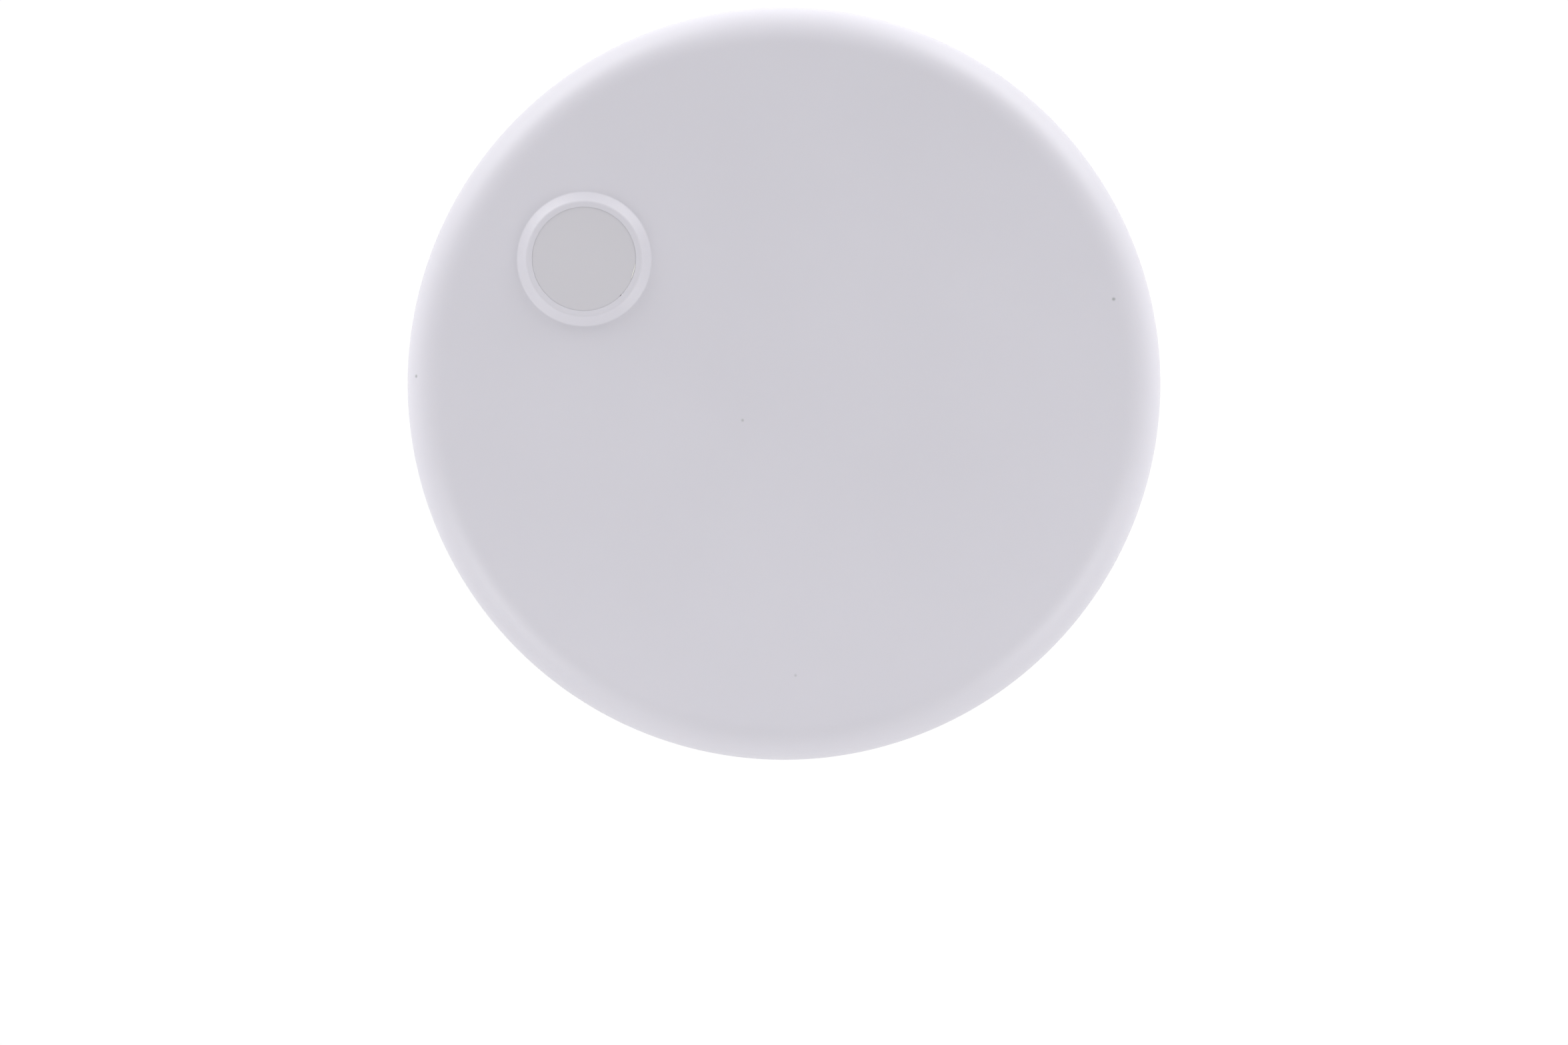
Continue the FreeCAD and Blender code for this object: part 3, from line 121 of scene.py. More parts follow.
def addGrain(material, shader, place, size, depth, roughness, spread, detail=2.0):
    # a fine relief, with the gloss a little uneven over it
    grain = addNode(material, "ShaderNodeTexNoise", {"Scale": perMetre(size), "Detail": detail},
                    {"Vector": place})
    wander = {"To Min": roughness - spread, "To Max": roughness + spread}
    sheen = addNode(material, "ShaderNodeMapRange", wander, {"Value": grain.outputs["Fac"]})
    joinNodes(material, sheen.outputs["Result"], shader, "Roughness")
    bump = addNode(material, "ShaderNodeBump", {"Strength": grainStrength, "Distance": depth * mm},
                   {"Height": grain.outputs["Fac"]})
    joinNodes(material, bump.outputs["Normal"], shader, "Normal")
    return grain


def mouldedPolymer(name, colours, roughness, tooth, depth, flow=16.0, flecks=None, extra=None):
    # an injection moulded part: its tint drifts where the melt ran, and the tool leaves a fine tooth
    material, shader = newMaterial(name, colours[0], roughness, extra=extra)
    place = addNode(material, "ShaderNodeTexCoord").outputs["Object"]
    melt = addNode(material, "ShaderNodeTexNoise", {"Scale": perMetre(flow), "Detail": 3.0},
                   {"Vector": place})
    ramp = addNode(material, "ShaderNodeValToRGB", links={"Fac": melt.outputs["Fac"]})
    setRamp(ramp, {0.3: colours[1], 0.7: colours[0]})
    base = ramp.outputs["Color"]
    if flecks:
        base = addFlecks(material, place, base, *flecks)
    joinNodes(material, base, shader, "Base Color")
    addGrain(material, shader, place, tooth, depth, roughness, plasticSheenSpread)
    return material


def sheetMetal(name, colours, roughness, grain, depth, stretch=(1.0, 1.0, 1.0)):
    # plated metal: the rolling or drawing leaves long streaks, and the plating is uneven between them
    material, shader = newMaterial(name, colours[0], roughness, 1.0)
    place = addNode(material, "ShaderNodeTexCoord").outputs["Object"]
    along = addNode(material, "ShaderNodeVectorMath", {1: stretch}, {0: place}, operation="MULTIPLY")
    streaks = addGrain(material, shader, along.outputs[0], grain, depth, roughness, metalSheenSpread,
                       detail=4.0)
    ramp = addNode(material, "ShaderNodeValToRGB", links={"Fac": streaks.outputs["Fac"]})
    setRamp(ramp, {0.35: colours[1], 0.65: colours[0]})
    joinNodes(material, ramp.outputs["Color"], shader, "Base Color")
    return material


softPlastic = {"IOR": 1.52, "Subsurface Weight": 0.25, "Subsurface Radius": (1.0, 0.92, 0.86),
               "Subsurface Scale": 0.2 * mm}  # white ABS lets a little light through
# ABS, injection moulded in a spark-eroded tool: an even, silky white with a very fine tooth and the odd
# fleck. The real tooth is about 0.03 mm, drawn coarser so that it shows.
caseWhite = mouldedPolymer("caseMouldedAbs", ("e0dee6", "dedce4"), 0.46, 0.18, 0.006,
                           flecks=(5.0, 0.24, 0.3, "aeb0b2", 0.9), extra=softPlastic)
# the door comes from a tool of its own, so its white is a shade warmer
doorWhite = mouldedPolymer("doorMouldedAbs", ("dedce3", "dcdae1"), 0.48, 0.18, 0.006,
                           flecks=(6.0, 0.2, 0.3, "aeb0b2", 0.9), extra=softPlastic)
# ABS from a polished tool: smoother and greyer than the case round it
buttonWhite = mouldedPolymer("buttonPolishedAbs", ("d9d7dd", "d7d5db"), 0.36, 0.3, 0.001, extra=softPlastic)
# the same ABS where the mould squeezed it thin: stretched, so it has gone whiter, and made whiter still as a
# painted highlight, the bright line along the cap's right edge
flashWhiteAndPaintedHighlight = mouldedPolymer("flashStretchedAbsAndPaintedHighlight", ("f3f2ef", "eceae6"), 0.4, 0.1, 0.001, flow=1.0,
                            extra=softPlastic)
# opal polycarbonate: matt, and whiter than the case, to throw the lamps' light forwards
gridWhite = mouldedPolymer("gridMouldedPolycarbonate", ("eeeeec", "e8e8e5"), 0.55, 0.15, 0.004)
# calendered polyester film, milky, with a faint grain from the rollers
filmMilky = mouldedPolymer("filmCalenderedPolyester", ("ecedee", "e4e6e8"), 0.3, 0.12, 0.002, 5.0)
# glass-filled nylon: near black, with pale fibres just under the surface
switchBlack = mouldedPolymer("switchMouldedNylon", ("17171a", "1f1f22"), 0.5, 0.12, 0.005, 2.0,
                             flecks=(0.5, 0.04, 0.25, "4a4a4c"))
# unfilled nylon: translucent, slightly yellow
plungerNylon = mouldedPolymer("plungerMouldedNylon", ("d6d0bf", "cbc4b0"), 0.38, 0.15, 0.002, 2.0)
# transfer-moulded epoxy: dark grey, with a fine blasted grain
chipBlack = mouldedPolymer("chipMouldedEpoxy", ("222326", "1b1c1e"), 0.6, 0.07, 0.004, 1.5)
# cast epoxy over phosphor: glossy and pale yellow
lampEpoxy = mouldedPolymer("lampCastEpoxy", ("ece6b8", "e2d98e"), 0.18, 0.3, 0.001, 0.5)
# fired ceramic: dry and finely pitted
ceramicBrown = mouldedPolymer("antennaFiredCeramic", ("a68c70", "96795c"), 0.7, 0.08, 0.006, 1.0)
# closed-cell rubber foam: cells of 0.2 mm, black and dull
foamBlack = mouldedPolymer("gasketFoamedRubber", ("202021", "161617"), 0.92, 0.22, 0.06, 0.8)
# stretched PTFE membrane: fibrous, chalk white
membraneWhite = mouldedPolymer("filterStretchedPtfe", ("efefec", "e2e2dd"), 0.85, 0.05, 0.015, 0.6)
# rolled sheet steel, tinned: bright but cloudy
tinned = sheetMetal("tinnedRolledSteel", ("d0cfc9", "bdbcb6"), 0.3, 0.25, 0.002, (0.1, 1.0, 1.0))
# drawn spring wire and strip, nickel plated: warm grey with drawing lines along it
springNickel = sheetMetal("springDrawnNickel", ("cbc8bf", "aeaaa0"), 0.26, 0.12, 0.003, (1.0, 1.0, 0.2))
# cold-headed screws, zinc plated: bluish grey with a crystalline bloom
screwZinc = sheetMetal("screwPlatedZinc", ("b3b6ba", "9b9ea3"), 0.34, 0.12, 0.0015)
# deep-drawn cell can, nickel plated
canNickel = sheetMetal("canDrawnNickel", ("c9c8c3", "b4b2ab"), 0.24, 0.3, 0.002, (1.0, 1.0, 0.08))
# deep-drawn aluminium can with clear lacquer
canAluminium = sheetMetal("canLacqueredAluminium", ("cfd1d3", "bcbfc2"), 0.33, 0.2, 0.002, (1.0, 0.1, 1.0))
print("plastics and metals ready")


laminate = {
    "mask": "14532c",  # green solder mask over bare glass-epoxy
    "overCopper": "1e6b39",  # the mask looks lighter where copper lies beneath
    "tinPad": "c9c8c2",
    "trackTurn": 0.9,  # mm for each radian of the bands that make the tracks
    "trackLevel": 0.62,  # a band is copper above this
    "fieldSize": 5.0,  # tracks keep one direction over a field of this size
    "viaEvery": 2.6,
    "viaSize": 0.28,
    "weaveTurn": 0.45,  # glass cloth that prints through as a faint relief
    "weaveWander": 0.6,
    "trackRise": 0.25,  # height of a track against that of the weave
    "relief": 0.03,
    "reliefStrength": 0.4,
}


def boardLaminate():
    # glass-epoxy board under a glossy green mask: copper tracks and tinned vias show through
    b = laminate
    material, shader = newMaterial("boardMaskedLaminate", b["mask"], 0.3)
    place = addNode(material, "ShaderNodeTexCoord").outputs["Object"]
    bands = []
    for direction in ("X", "Z"):
        band = addNode(material, "ShaderNodeTexWave", {"Scale": perMetre(b["trackTurn"]) / waveRate},
                       {"Vector": place}, wave_type="BANDS", bands_direction=direction)
        line = addNode(material, "ShaderNodeMath", {1: b["trackLevel"]}, {0: band.outputs["Fac"]},
                       operation="GREATER_THAN")
        bands.append(line.outputs[0])
    field = addNode(material, "ShaderNodeTexVoronoi", {"Scale": perMetre(b["fieldSize"])}, {"Vector": place},
                    distance="CHEBYCHEV")
    tone = addNode(material, "ShaderNodeSeparateColor", links={"Color": field.outputs["Color"]})
    turned = addNode(material, "ShaderNodeMath", {1: 0.5}, {0: tone.outputs["Red"]}, operation="GREATER_THAN")
    tracks = addNode(material, "ShaderNodeMix", links={0: turned.outputs[0], 2: bands[0], 3: bands[1]})
    greens = {6: linearColour(b["mask"]), 7: linearColour(b["overCopper"])}
    copper = addNode(material, "ShaderNodeMix", greens, {0: tracks.outputs[0]}, data_type="RGBA")
    base = addFlecks(material, place, copper.outputs[2], b["viaEvery"], b["viaSize"], 0.5, b["tinPad"])
    joinNodes(material, base, shader, "Base Color")
    cloth = {"Scale": perMetre(b["weaveTurn"]) / waveRate, "Distortion": b["weaveWander"]}
    weave = addNode(material, "ShaderNodeTexWave", cloth, {"Vector": place}, bands_direction="DIAGONAL")
    height = addNode(material, "ShaderNodeMath", {2: b["trackRise"]},
                     {0: weave.outputs["Fac"], 1: tracks.outputs[0]}, operation="MULTIPLY_ADD")
    relief = {"Strength": b["reliefStrength"], "Distance": b["relief"] * mm}
    bump = addNode(material, "ShaderNodeBump", relief, {"Height": height.outputs[0]})
    joinNodes(material, bump.outputs["Normal"], shader, "Normal")
    return material


sleeve = {
    "dark": "24262b",
    "copper": "b36a3c",
    "bandShare": 0.24,  # part of the length that the copper-coloured band takes, at the positive end
    "line": "d9d9d6",
    "lineShare": 0.012,
    "bandBlend": 0.001,  # part of the length over which the band turns metallic
    "bandMetallic": 0.8,
    "roughness": 0.28,
    "coat": 0.4,
    "ripple": 1.2,
    "rippleDepth": 0.02,
    "sheenSpread": 0.05,
}


def shrinkSleeve(node, positiveUp):
    # printed PVC shrink sleeve: glossy, a plain dark body with a metallic-ink band at the positive end
    s = sleeve
    low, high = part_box(node)
    gloss = {"Coat Weight": s["coat"]}
    material, shader = newMaterial(f"{node}ShrunkPvc", s["dark"], s["roughness"], extra=gloss)
    place = addNode(material, "ShaderNodeTexCoord").outputs["Object"]
    height = addNode(material, "ShaderNodeSeparateXYZ", links={0: place}).outputs["Z"]
    ends = {"From Min": low.z, "From Max": high.z} if positiveUp else {"From Min": high.z, "From Max": low.z}
    along = addNode(material, "ShaderNodeMapRange", ends, {"Value": height})
    ramp = addNode(material, "ShaderNodeValToRGB", links={"Fac": along.outputs["Result"]})
    ramp.color_ramp.interpolation = "CONSTANT"
    bandStart = 1 - s["bandShare"]
    setRamp(ramp, {0.0: s["dark"], bandStart - s["lineShare"]: s["line"], bandStart: s["copper"]})
    joinNodes(material, ramp.outputs["Color"], shader, "Base Color")
    rise = {"From Min": bandStart, "From Max": bandStart + s["bandBlend"], "To Max": s["bandMetallic"]}
    metal = addNode(material, "ShaderNodeMapRange", rise, {"Value": along.outputs["Result"]})
    joinNodes(material, metal.outputs["Result"], shader, "Metallic")
    addGrain(material, shader, place, s["ripple"], s["rippleDepth"], s["roughness"], s["sheenSpread"])
    return material


dressing = {
    "rear_housing": caseWhite,
    "battery_door": doorWhite,
    "light_grid": gridWhite,
    "diffuser_film": filmMilky,
    "display_lamps": lampEpoxy,
    "display_driver": chipBlack,
    "radio_chip": chipBlack,
    "air_sensor": chipBlack,
    "main_board": boardLaminate(),
    "radio_shield": tinned,
    "clock_crystal": tinned,
    "switch_cover": tinned,
    "switch_legs": tinned,
    "chip_antenna": ceramicBrown,
    "board_passives": ceramicBrown,
    "reservoir_capacitor": canAluminium,
    "sensor_gasket": foamBlack,
    "dust_filter": membraneWhite,
    "switch_base": switchBlack,
    "switch_plunger": plungerNylon,
    "left_cell_can": canNickel,
    "right_cell_can": canNickel,
    "left_cell_sleeve": shrinkSleeve("left_cell_sleeve", True),
    "right_cell_sleeve": shrinkSleeve("right_cell_sleeve", False),
    "positive_contact": springNickel,
    "negative_contact": springNickel,
    "bridge_contact": springNickel,
    "top_spring": springNickel,
    "bottom_spring": springNickel,
    "case_screws": screwZinc,
}
dressing["radio_board"] = dressing["main_board"]
for name, material in dressing.items():
    nodes[name].data.materials[0] = material
print("solids dressed:", len(dressing))


# Mesh building: turned shapes are rings about an axis along Y, at a height in front of the wall

def finishMesh(bm, name, material, sharpAngle=32):
    bmesh.ops.remove_doubles(bm, verts=bm.verts, dist=weldDistance)
    bmesh.ops.recalc_face_normals(bm, faces=bm.faces)
    mesh = bpy.data.meshes.new(name)
    bm.to_mesh(mesh)
    bm.free()
    mesh.polygons.foreach_set("use_smooth", [True] * len(mesh.polygons))
    mesh.set_sharp_from_angle(angle=math.radians(sharpAngle))
    mesh.materials.append(material)
    piece = bpy.data.objects.new(name, mesh)
    bpy.context.scene.collection.objects.link(piece)
    return piece


def ring(bm, radius, height, centre=(0, 0), count=360):
    points = []
    for k in range(count):
        angle = 2 * math.pi * k / count
        x = centre[0] + radius * math.cos(angle)
        z = centre[1] + radius * math.sin(angle)
        points.append(bm.verts.new((x * mm, -height * mm, z * mm)))
    return points


def joinRings(bm, rings):
    for first, second in zip(rings, rings[1:]):
        count = len(first)
        for k in range(count):
            bm.faces.new((first[k], first[(k + 1) % count], second[(k + 1) % count], second[k]))


def closeRing(bm, points, centre, height):
    # a fan of triangles
    middle = bm.verts.new((centre[0] * mm, -height * mm, centre[1] * mm))
    for k in range(len(points)):
        bm.faces.new((points[k], points[(k + 1) % len(points)], middle))


def roundCorner(corner, before, after, radius, steps, hollow=False):
    # profile points round a corner between two faces, given by the angles of their normals in degrees
    side = -1 if hollow else 1
    start, end = math.radians(before), math.radians(after)
    reach = side * radius / (1 + math.cos(end - start))
    middle = (corner[0] - reach * (math.cos(start) + math.cos(end)),
              corner[1] - reach * (math.sin(start) + math.sin(end)))
    points = []
    for k in range(steps + 1):
        angle = start + (end - start) * k / steps
        points.append((middle[0] + side * radius * math.cos(angle),
                       middle[1] + side * radius * math.sin(angle)))
    return points


# Front cover: a dished shell with a raised lip round the button's bore. Its radii, lengths and heights are in
# millimetres, as are those of the cap and the sliver.

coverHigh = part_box("front_cover")[1]
capLow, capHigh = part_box("button_cap")
buttonAxis = ((capLow.x + capHigh.x) / 2 / mm, (capLow.z + capHigh.z) / 2 / mm)
cover = {
    "radius": coverHigh.x / mm,
    "skirtEnd": -coverHigh.y / mm,
    "face": 22.0,
    "inside": 20.0,
    "edge": 3.5,  # round of the front edge
    "besideEdge": (0.3, 0.25),  # rings that keep the shading of the wall and the face flat up to it
    "brokenEdge": 0.3,
    "wall": 1.6,
    "innerEdge": 1.5,
    "bore": 4.81,
    "boreEdge": 0.008,
    "lipHeight": 0.69,
    "lipTop": 5.32,  # radius where the slope and the nearly flat top would meet
    "lipShoulder": 0.32,
    "besideBore": 0.5,
    "lipFall": 0.05,
    "foot": 6.22,
    "footBlend": 0.26,
    "besideFoot": 0.25,
    "faceRings": 8,  # between the front edge and the lip
    "collar": (5.74, 6.64),  # inner and outer radius of the collar that guides the button
    "collarEnd": 17.8,
    "windowMargin": 0.25,  # room round the light grid
    "bossSegments": 64,
    "bossGap": 0.1,  # least room between a boss and the collar
    "bossPlaces": ((-18.74, 20.81), (18.74, 20.81), (-22.94, -16.06), (22.94, -16.06)),
    "bossProfile": ((0.9, 17.0), (0.9, 10.0), (2.5, 10.0), (2.5, 16.5), (3.25, 16.5), (3.25, 20.0)),
}


def lipProfile():
    # from the face up the slope, over the shoulder, into the bore and round the collar behind
    c = cover
    top = c["face"] + c["lipHeight"]
    slope = 90 - math.degrees(math.atan2(c["lipHeight"], c["foot"] - c["lipTop"]))
    land = 90 + math.degrees(math.atan2(c["lipFall"], c["lipTop"] - c["bore"]))
    points = roundCorner((c["foot"], c["face"]), 90, slope, c["footBlend"], steps=6, hollow=True)
    points += roundCorner((c["lipTop"], top), slope, land, c["lipShoulder"], steps=10)
    points += roundCorner((c["bore"], top - c["lipFall"]), land, 180, c["boreEdge"], steps=4)
    boreHeights = (top - c["besideBore"], c["face"] - c["besideBore"], c["inside"])
    points += [(c["bore"], height) for height in boreHeights]
    inner, outer = c["collar"]
    points += [(inner, c["inside"]), (inner, c["collarEnd"]), (outer, c["collarEnd"]), (outer, c["inside"])]
    return points


def buildFrontCover():
    c = cover
    bm = bmesh.new()
    outer = [(c["radius"] - c["wall"], c["skirtEnd"])]
    outer += roundCorner((c["radius"], c["skirtEnd"]), -90, 0, c["brokenEdge"], steps=4)
    outer += [(c["radius"], c["face"] - c["edge"] - c["besideEdge"][0])]
    outer += roundCorner((c["radius"], c["face"]), 0, 90, c["edge"], steps=28)
    outer += [(c["radius"] - c["edge"] - c["besideEdge"][1], c["face"])]
    rings = [ring(bm, *point) for point in outer]
    lip = lipProfile()
    faceEdge = outer[-1][0]
    footRadius = lip[0][0] + c["besideFoot"]
    for k in range(1, c["faceRings"] + 1):
        share = k / c["faceRings"]
        radius = faceEdge + (footRadius - faceEdge) * share
        rings.append(ring(bm, radius, c["face"], (buttonAxis[0] * share, buttonAxis[1] * share)))
    rings += [ring(bm, *point, buttonAxis) for point in lip]
    joinRings(bm, rings)
    # inside of the dish, with the thin window over the display and the screw bosses
    dish = [(c["radius"] - c["wall"], c["skirtEnd"])]
    dish += roundCorner((c["radius"] - c["wall"], c["inside"]), 0, 90, c["innerEdge"], steps=8)
    inner = [ring(bm, *point) for point in dish]
    joinRings(bm, inner)
    gridLow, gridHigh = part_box("light_grid")
    filmFront = -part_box("diffuser_film")[0].y / mm
    margin = c["windowMargin"] * mm
    left, right = gridLow.x - margin, gridHigh.x + margin
    bottom, top = gridLow.z - margin, gridHigh.z + margin
    corners = ((left, bottom), (right, bottom), (right, top), (left, top))
    window = []
    for height in (c["inside"], filmFront):
        window.append([bm.verts.new((x, -height * mm, z)) for x, z in corners])
    joinRings(bm, window)
    bm.faces.new(window[1])
    loops = [inner[-1], rings[-1], window[0]]
    for place in c["bossPlaces"]:
        # the boss beside the collar has no room for its shoulder
        room = math.dist(place, buttonAxis) - c["collar"][1] - c["bossGap"]
        boss = []
        for radius, height in c["bossProfile"]:
            boss.append(ring(bm, min(radius, room), height, place, c["bossSegments"]))
        joinRings(bm, boss)
        closeRing(bm, boss[0], place, c["bossProfile"][0][1])
        loops.append(boss[-1])
    edges = []
    for loop in loops:
        for k in range(len(loop)):
            edges.append(bm.edges.get((loop[k], loop[(k + 1) % len(loop)])))
    bmesh.ops.triangle_fill(bm, use_beauty=True, edges=edges)
    return finishMesh(bm, "frontCoverShell", caseWhite)


frontCover = buildFrontCover()
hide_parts("front_cover")
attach(frontCover, "station")
print("front cover built")


# Button cap

cap = {
    "radius": 4.808,
    "top": 22.6,
    "edge": 0.01,
    "besideEdge": 0.6,
    "topRings": (0.15, 0.4),  # in from the edge
    "middleRing": 2.0,
    "segments": 480,
    "flange": 5.54,
    "flangeTop": 19.9,
    "flangeBottom": 18.9,
    "hollow": 3.64,
    "roof": 21.4,
    "stem": 1.4,
    "stemEnd": 18.75,
    "stemChamfer": 0.2,
    "gateAngle": -45,  # where the sprue was cut off, lower right
    "gateDepth": 0.05,
    "gateWidth": 1.2,  # degrees either way
    "gateSteepness": 4,
    "gateReach": 0.3,  # how far the notch goes down the side and in over the top
}


def buildButtonCap():
    c = cap
    bm = bmesh.new()
    profile = [(c["stem"] - c["stemChamfer"], c["stemEnd"]), (c["stem"], c["stemEnd"] + c["stemChamfer"]),
               (c["stem"], c["roof"]), (c["hollow"], c["roof"]), (c["hollow"], c["flangeBottom"]),
               (c["flange"], c["flangeBottom"]), (c["flange"], c["flangeTop"]), (c["radius"], c["flangeTop"]),
               (c["radius"], c["top"] - c["besideEdge"])]
    profile += roundCorner((c["radius"], c["top"]), 0, 90, c["edge"], steps=8)
    profile += [(c["radius"] - inset, c["top"]) for inset in c["topRings"]]
    profile += [(c["middleRing"], c["top"])]
    rings = [ring(bm, *point, buttonAxis, c["segments"]) for point in profile]
    for points, (radius, height) in zip(rings, profile):
        if height < c["top"] - c["gateReach"] or radius < c["radius"] - c["gateReach"]:
            continue
        for k, point in enumerate(points):
            angle = (360 * k / len(points) + 180) % 360 - 180
            offset = (angle - c["gateAngle"]) / c["gateWidth"]
            pull = c["gateDepth"] * math.exp(-offset ** c["gateSteepness"])
            axis = Vector((buttonAxis[0] * mm, point.co.y, buttonAxis[1] * mm))
            point.co -= (point.co - axis).normalized() * pull * mm
    joinRings(bm, rings)
    closeRing(bm, rings[0], buttonAxis, c["stemEnd"])
    closeRing(bm, rings[-1], buttonAxis, c["top"])
    return finishMesh(bm, "buttonCapShell", buttonWhite)


buttonCap = buildButtonCap()
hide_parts("button_cap")
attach(buttonCap, "button")


flash = {
    "angles": (-5.0, -23.0),  # degrees, along the cap's right edge
    "radius": 4.735,
    "wander": 0.018,
    "waves": 1.1,  # how often it wanders out and in along its length
    "phase": 0.6,
    "width": 0.1,
    "height": (22.5, 22.655),
    "crestShare": 0.3,  # how far out its crest lies, as a part of half its width
    "crestFall": (0.02, 0.03),  # from the crest to its outer and inner edge
    "thinnest": 0.12,  # size at its ends, as a part of its full size
    "bluntness": 0.35,  # nearer 0 for blunter ends
    "steps": 30,
}


def buildFlash():
    # a sliver that the mould pressed out along the cap's edge
    f = flash
    bm = bmesh.new()
    low, high = f["height"]
    sections = []
    for k in range(f["steps"] + 1):
        share = k / f["steps"]
        angle = math.radians(f["angles"][0] + (f["angles"][1] - f["angles"][0]) * share)
        taper = max(f["thinnest"], math.sin(math.pi * share) ** f["bluntness"])
        middle = f["radius"] + f["wander"] * math.sin(2 * math.pi * f["waves"] * share + f["phase"])
        half = f["width"] / 2 * taper
        crest = cap["top"] + (high - cap["top"]) * taper
        outline = ((-half, low), (half, low), (half, crest - f["crestFall"][0]),
                   (half * f["crestShare"], crest), (-half, crest - f["crestFall"][1]))
        section = []
        for across, height in outline:
            x = buttonAxis[0] + (middle + across) * math.cos(angle)
            z = buttonAxis[1] + (middle + across) * math.sin(angle)
            section.append(bm.verts.new((x * mm, -height * mm, z * mm)))
        sections.append(section)
    joinRings(bm, sections)
    bm.faces.new(sections[0])
    bm.faces.new(sections[-1])
    # its whiter material is partly a painted highlight along the cap's edge
    return finishMesh(bm, "capFlashSliver", flashWhiteAndPaintedHighlight)


capFlash = buildFlash()
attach(capFlash, "button")
print("button cap built")


# Studio: a pale floor that fades into the light, soft boxes above left and right, and the camera

studio = {
    "floorHeight": -110.0,  # clear of the door when it is slid right down
    "floorRadius": 160.0,
    "floorRings": (40.0, 100.0),
    "floorSegments": 96,
    "floorFade": (50.0, 150.0),
    "floorColour": "bcbbb7",
    "floorRoughness": 0.9,
    "horizonBlend": 0.35,
    # brightness by direction, from in front of the puck (-1) to behind it (1), above it and below it
    "skyAbove": {-1.0: 0.5, -0.85: 0.34, -0.65: 0.34, -0.4: 0.41, -0.15: 0.74, 0.1: 0.95, 0.7: 0.95,
                 1.0: 1.02},
    "skyBelow": {-1.0: 0.5, -0.85: 0.51, -0.65: 0.78, -0.4: 0.97, -0.15: 0.84, 0.1: 0.66, 0.7: 0.9,
                 1.0: 1.02},
    # places and sizes of the lamps are in metres, and their powers in watts
    "lampsLookAt": (0.0, -0.01, 0.0),
    "softBoxes": ((-0.48, -0.14, 0.60), (0.50, -0.14, 0.58)),
    "softBoxSize": 0.5,
    "softBoxPower": 2.8,
    "lowCards": ((-0.13, -0.11, -0.10), (0.13, -0.11, -0.10)),  # in front and low, past the floor's edge
    "lowCardSize": 0.06,
    "lowCardPower": 0.057,
}


def buildFloor():
    bm = bmesh.new()
    loops = []
    count = studio["floorSegments"]
    for radius in (*studio["floorRings"], studio["floorRadius"]):
        loop = []
        for k in range(count):
            angle = 2 * math.pi * k / count
            point = (radius * math.cos(angle), radius * math.sin(angle), studio["floorHeight"])
            loop.append(bm.verts.new(Vector(point) * mm))
        loops.append(loop)
    joinRings(bm, loops)
    bm.faces.new(loops[0])
    # painted board: matt, and gone by its edge so that no horizon shows
    paint, shader = newMaterial("floorPaintedBoard", studio["floorColour"], studio["floorRoughness"])
    place = addNode(paint, "ShaderNodeTexCoord").outputs["Object"]
    away = addNode(paint, "ShaderNodeVectorMath", links={0: place}, operation="LENGTH")
    near, far = studio["floorFade"]
    fade = addNode(paint, "ShaderNodeMapRange", {"From Min": near * mm, "From Max": far * mm},
                   {"Value": away.outputs["Value"]}, interpolation_type="SMOOTHSTEP")
    clear = addNode(paint, "ShaderNodeBsdfTransparent")
    mix = addNode(paint, "ShaderNodeMixShader", links={0: fade.outputs["Result"], 1: shader.outputs[0],
                                                       2: clear.outputs[0]})
    joinNodes(paint, mix.outputs[0], paint.node_tree.nodes["Material Output"], "Surface")
    finishMesh(bm, "studioFloor", paint)


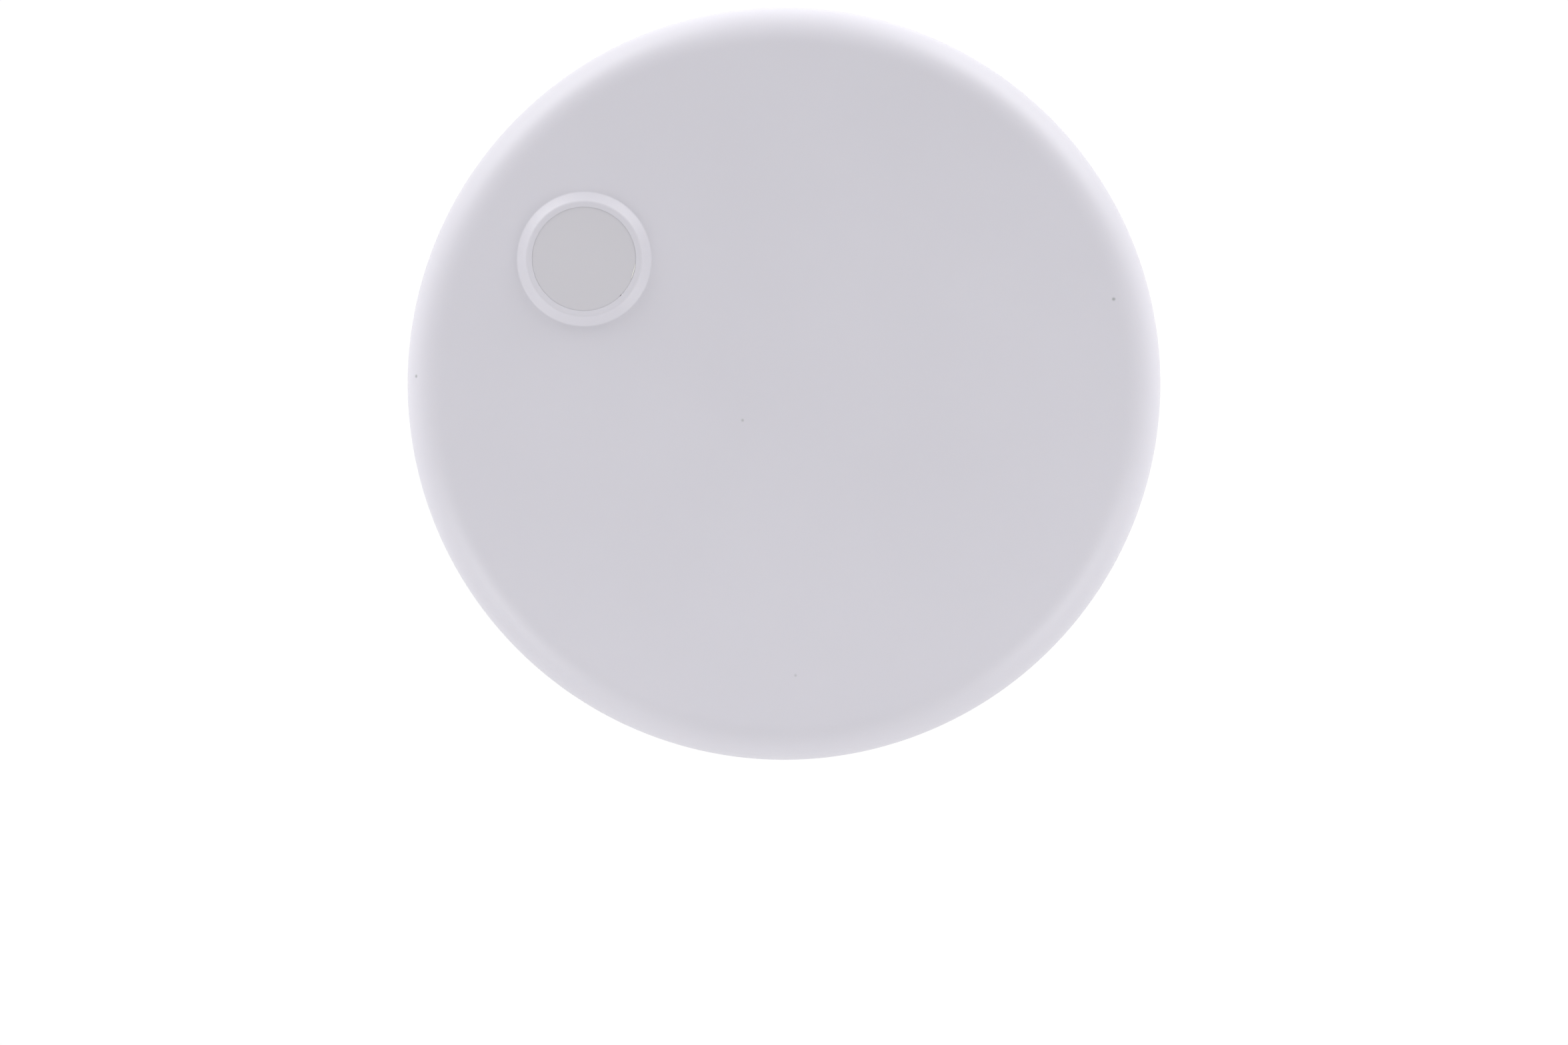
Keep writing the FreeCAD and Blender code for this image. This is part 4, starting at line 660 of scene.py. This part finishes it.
def buildSky():
    # light from all round: dim in front of the puck, so that its rim is brighter than its face
    world = bpy.data.worlds.new("studioLight")
    bpy.context.scene.world = world
    world.use_nodes = True
    place = addNode(world, "ShaderNodeTexCoord").outputs["Generated"]
    parts = addNode(world, "ShaderNodeSeparateXYZ", links={0: place})
    depth = addNode(world, "ShaderNodeMapRange", {"From Min": -1.0}, {"Value": parts.outputs["Y"]})
    halves = []
    for half in ("skyAbove", "skyBelow"):
        ramp = addNode(world, "ShaderNodeValToRGB", links={"Fac": depth.outputs["Result"]})
        elements = ramp.color_ramp.elements
        for index, (direction, light) in enumerate(studio[half].items()):
            element = elements[index] if index < 2 else elements.new((direction + 1) / 2)
            element.position = (direction + 1) / 2
            element.color = (light, light, light, 1.0)
        halves.append(ramp.outputs["Color"])
    blend = {"From Min": studio["horizonBlend"], "From Max": -studio["horizonBlend"]}
    below = addNode(world, "ShaderNodeMapRange", blend, {"Value": parts.outputs["Z"]})
    light = addNode(world, "ShaderNodeMix", links={0: below.outputs["Result"], 6: halves[0], 7: halves[1]},
                    data_type="RGBA")
    joinNodes(world, light.outputs[2], world.node_tree.nodes["Background"], "Color")


def placeLamp(name, place, size, power):
    # a square area lamp that looks at the middle of the puck
    lamp = bpy.data.lights.new(name, "AREA")
    lamp.shape = "SQUARE"
    lamp.size = size
    lamp.energy = power
    box = bpy.data.objects.new(name, lamp)
    box.location = place
    box.visible_camera = False
    aim = Vector(studio["lampsLookAt"]) - Vector(place)
    box.rotation_euler = aim.to_track_quat("-Z", "Y").to_euler()
    bpy.context.scene.collection.objects.link(box)


view = {
    "lens": 135.0,
    "sensor": 36.0,
    "photoWidth": 2352.0,
    "photoHeight": 1568.0,
    "discCentre": (1176.0, 575.5),  # pixels in the photograph, as is the radius
    "discRadius": 564.5,
    "widestAt": 18.5,  # mm in front of the wall, where the rim starts to round
    "clip": (0.01, 20.0),  # metres
}


def buildCamera():
    camera = bpy.data.cameras.new("camera")
    camera.lens = view["lens"]
    camera.sensor_width = view["sensor"]
    frameWidth = view["photoWidth"] / view["discRadius"] * cover["radius"] * mm
    distance = frameWidth * view["lens"] / view["sensor"]
    camera.shift_x = (view["photoWidth"] / 2 - view["discCentre"][0]) / view["photoWidth"]
    camera.shift_y = (view["discCentre"][1] - view["photoHeight"] / 2) / view["photoWidth"]
    camera.clip_start, camera.clip_end = view["clip"]
    holder = bpy.data.objects.new("camera", camera)
    holder.location = (0.0, -view["widestAt"] * mm - distance, 0.0)
    holder.rotation_euler = (math.pi / 2, 0.0, 0.0)
    bpy.context.scene.collection.objects.link(holder)
    bpy.context.scene.camera = holder


buildFloor()
buildSky()
for number, place in enumerate(studio["softBoxes"]):
    placeLamp(f"softBox{number}", place, studio["softBoxSize"], studio["softBoxPower"])
for number, place in enumerate(studio["lowCards"]):
    placeLamp(f"lowCard{number}", place, studio["lowCardSize"], studio["lowCardPower"])
buildCamera()
bpy.context.scene.view_settings.view_transform = "Standard"
print("studio ready")
